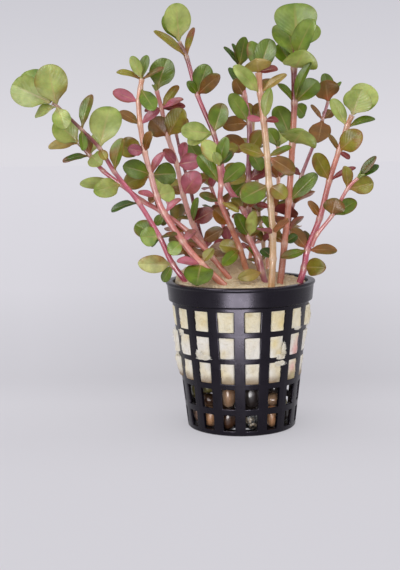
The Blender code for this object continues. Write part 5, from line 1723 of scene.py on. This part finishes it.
def stem_colour(name, height, from_node, seed):
    """The stem's colour at a height, paler in a ring at each node."""
    changes = STEM_CHANGES.get(name, ((0, SHOOTS[name][1]),))
    colour = screen(STEM_TONES[changes[0][1]])
    for (low, first), (high, second) in zip(changes, changes[1:]):
        if height > low:
            share = min(1.0, (height - low) / (high - low))
            colour = screen(STEM_TONES[first]).lerp(screen(STEM_TONES[second]), share)
    ring = math.exp(-(from_node / NODE_REACH) ** 2)
    patch = 1 + uneven((0, 0, height), STEM_PATCH, seed)
    return colour.lerp(screen(NODE_TONE), NODE_RING * ring) * patch


def add_stem(shape, name):
    radius, _, nodes = SHOOTS[name]
    points = shoot_points(nodes)
    seed = radius * STEM_SEED
    taper = STEM_TAPERS.get(name, STEM_TAPER)
    line = []
    for index in range(len(points) - 1):
        for step in range(STEM_STEPS):
            share = step / STEM_STEPS
            line.append((stem_curve(points, index, share), index + share))
    line.append((points[-1], len(points) - 1))
    side = stem_axis(points, 0).cross(Vector((0, 1, 0))).normalized()
    rings = []
    for number, (place, along) in enumerate(line):
        ahead = line[min(number + 1, len(line) - 1)][0] - line[max(number - 1, 0)][0]
        axis = ahead.normalized()
        side = (side - axis * side.dot(axis)).normalized()
        front = side.cross(axis)
        node = points[min(len(points) - 1, round(along))]
        from_node = (place - node).length if round(along) else FAR_FROM_NODE
        swell = 1 + NODE_SWELL * math.exp(-(from_node / NODE_REACH) ** 2)
        thick = radius * STEM_FINENESS * (1 - taper * along / (len(points) - 1)) * swell
        colour = stem_colour(name, place.z, from_node, seed)
        ring = []
        for corner in range(STEM_SIDES):
            turn = 2 * math.pi * corner / STEM_SIDES
            out = side * math.cos(turn) - front * math.sin(turn)
            ring.append(shape.point(place + out * thick, colour, corner / STEM_SIDES, along))
        rings.append(ring)
    shape.face(list(reversed(rings[0])))
    shape.skin(rings)
    shape.face(rings[-1])


def make_shoots():
    leaves = lay_out_leaves()
    materials = [stem_material(), leaf_material()]
    for name in SHOOTS:
        shape = Shape()
        rng = random.Random(name)
        add_stem(shape, name)
        for leaf in leaves:
            if leaf.shoot == name:
                add_leaf(shape, leaf, rng)
        if name in BUDS:
            add_bud(shape, name, rng)
        made = shape.make("fine_" + name, materials)
        finish_piece(made, [name])


# Surroundings

def make_floor():
    shape = Shape()
    corners = ((-FLOOR_HALF, -FLOOR_HALF), (FLOOR_HALF, -FLOOR_HALF),
               (FLOOR_HALF, FLOOR_HALF), (-FLOOR_HALF, FLOOR_HALF))
    shape.face([shape.point((x, y, 0.0)) for x, y in corners])
    made = shape.make("floor", [floor_material()])


def make_camera():
    camera = put_in_scene("camera", bpy.data.cameras.new("camera"))
    turn = Euler((math.radians(90 - CAMERA_PITCH), 0, math.radians(CAMERA_YAW)), "XYZ")
    camera.matrix_world = (Matrix.Translation(Vector(CAMERA_AT) * MM)
                           @ turn.to_matrix().to_4x4()
                           @ Matrix.Rotation(math.radians(CAMERA_ROLL), 4, "Z"))
    camera.data.sensor_width = SENSOR
    camera.data.lens = FOCAL_LENGTH * SENSOR / FRAME_HEIGHT
    bpy.context.scene.camera = camera
    bpy.context.scene.view_settings.view_transform = "Standard"


def aim_light(data, place, target):
    light = put_in_scene(data.name, data)
    light.location = Vector(place) * MM
    aim = Vector(target) - Vector(place)
    light.rotation_euler = aim.to_track_quat("-Z", "Y").to_euler()
    light.visible_camera = False
    return light


def add_sun(name, power, width, place):
    sun = bpy.data.lights.new(name, "SUN")
    sun.energy = power
    sun.angle = math.radians(width)
    aim_light(sun, place, SUN_TARGET)
    return sun


def make_backdrop():
    """Pale surroundings that grow a little darker upwards."""
    world = bpy.data.worlds.new("soft studio")
    bpy.context.scene.world = world
    world.use_nodes = True
    nodes = Nodes(world.node_tree, "Background")
    up = nodes.parts(nodes.place("Generated"))["Z"]
    share = nodes.fit(up, 0.0, BACKDROP_SLOPE, 0.0, 1.0)
    nodes.surface(Color=nodes.mix(share, screen(BACKDROP_LOW), screen(BACKDROP_HIGH)),
                  Strength=1.0)


def make_light():
    """An even pale room with a wide soft light overhead, and cards that only show as reflections."""
    make_backdrop()
    add_sun("overhead", *OVERHEAD)
    add_sun("front fill", *FRONT_FILL).specular_factor = 0.0
    for name, width, height, energy, place, target in REFLECTION_CARDS:
        card = bpy.data.lights.new(name, "AREA")
        card.shape = "RECTANGLE"
        card.size = width * MM
        card.size_y = height * MM
        card.energy = energy
        aim_light(card, place, target).visible_diffuse = False


def main():
    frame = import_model()
    make_camera()
    make_pot()
    make_wool()
    make_stones(frame["nodes"])
    make_shoots()
    make_floor()
    make_light()


main()
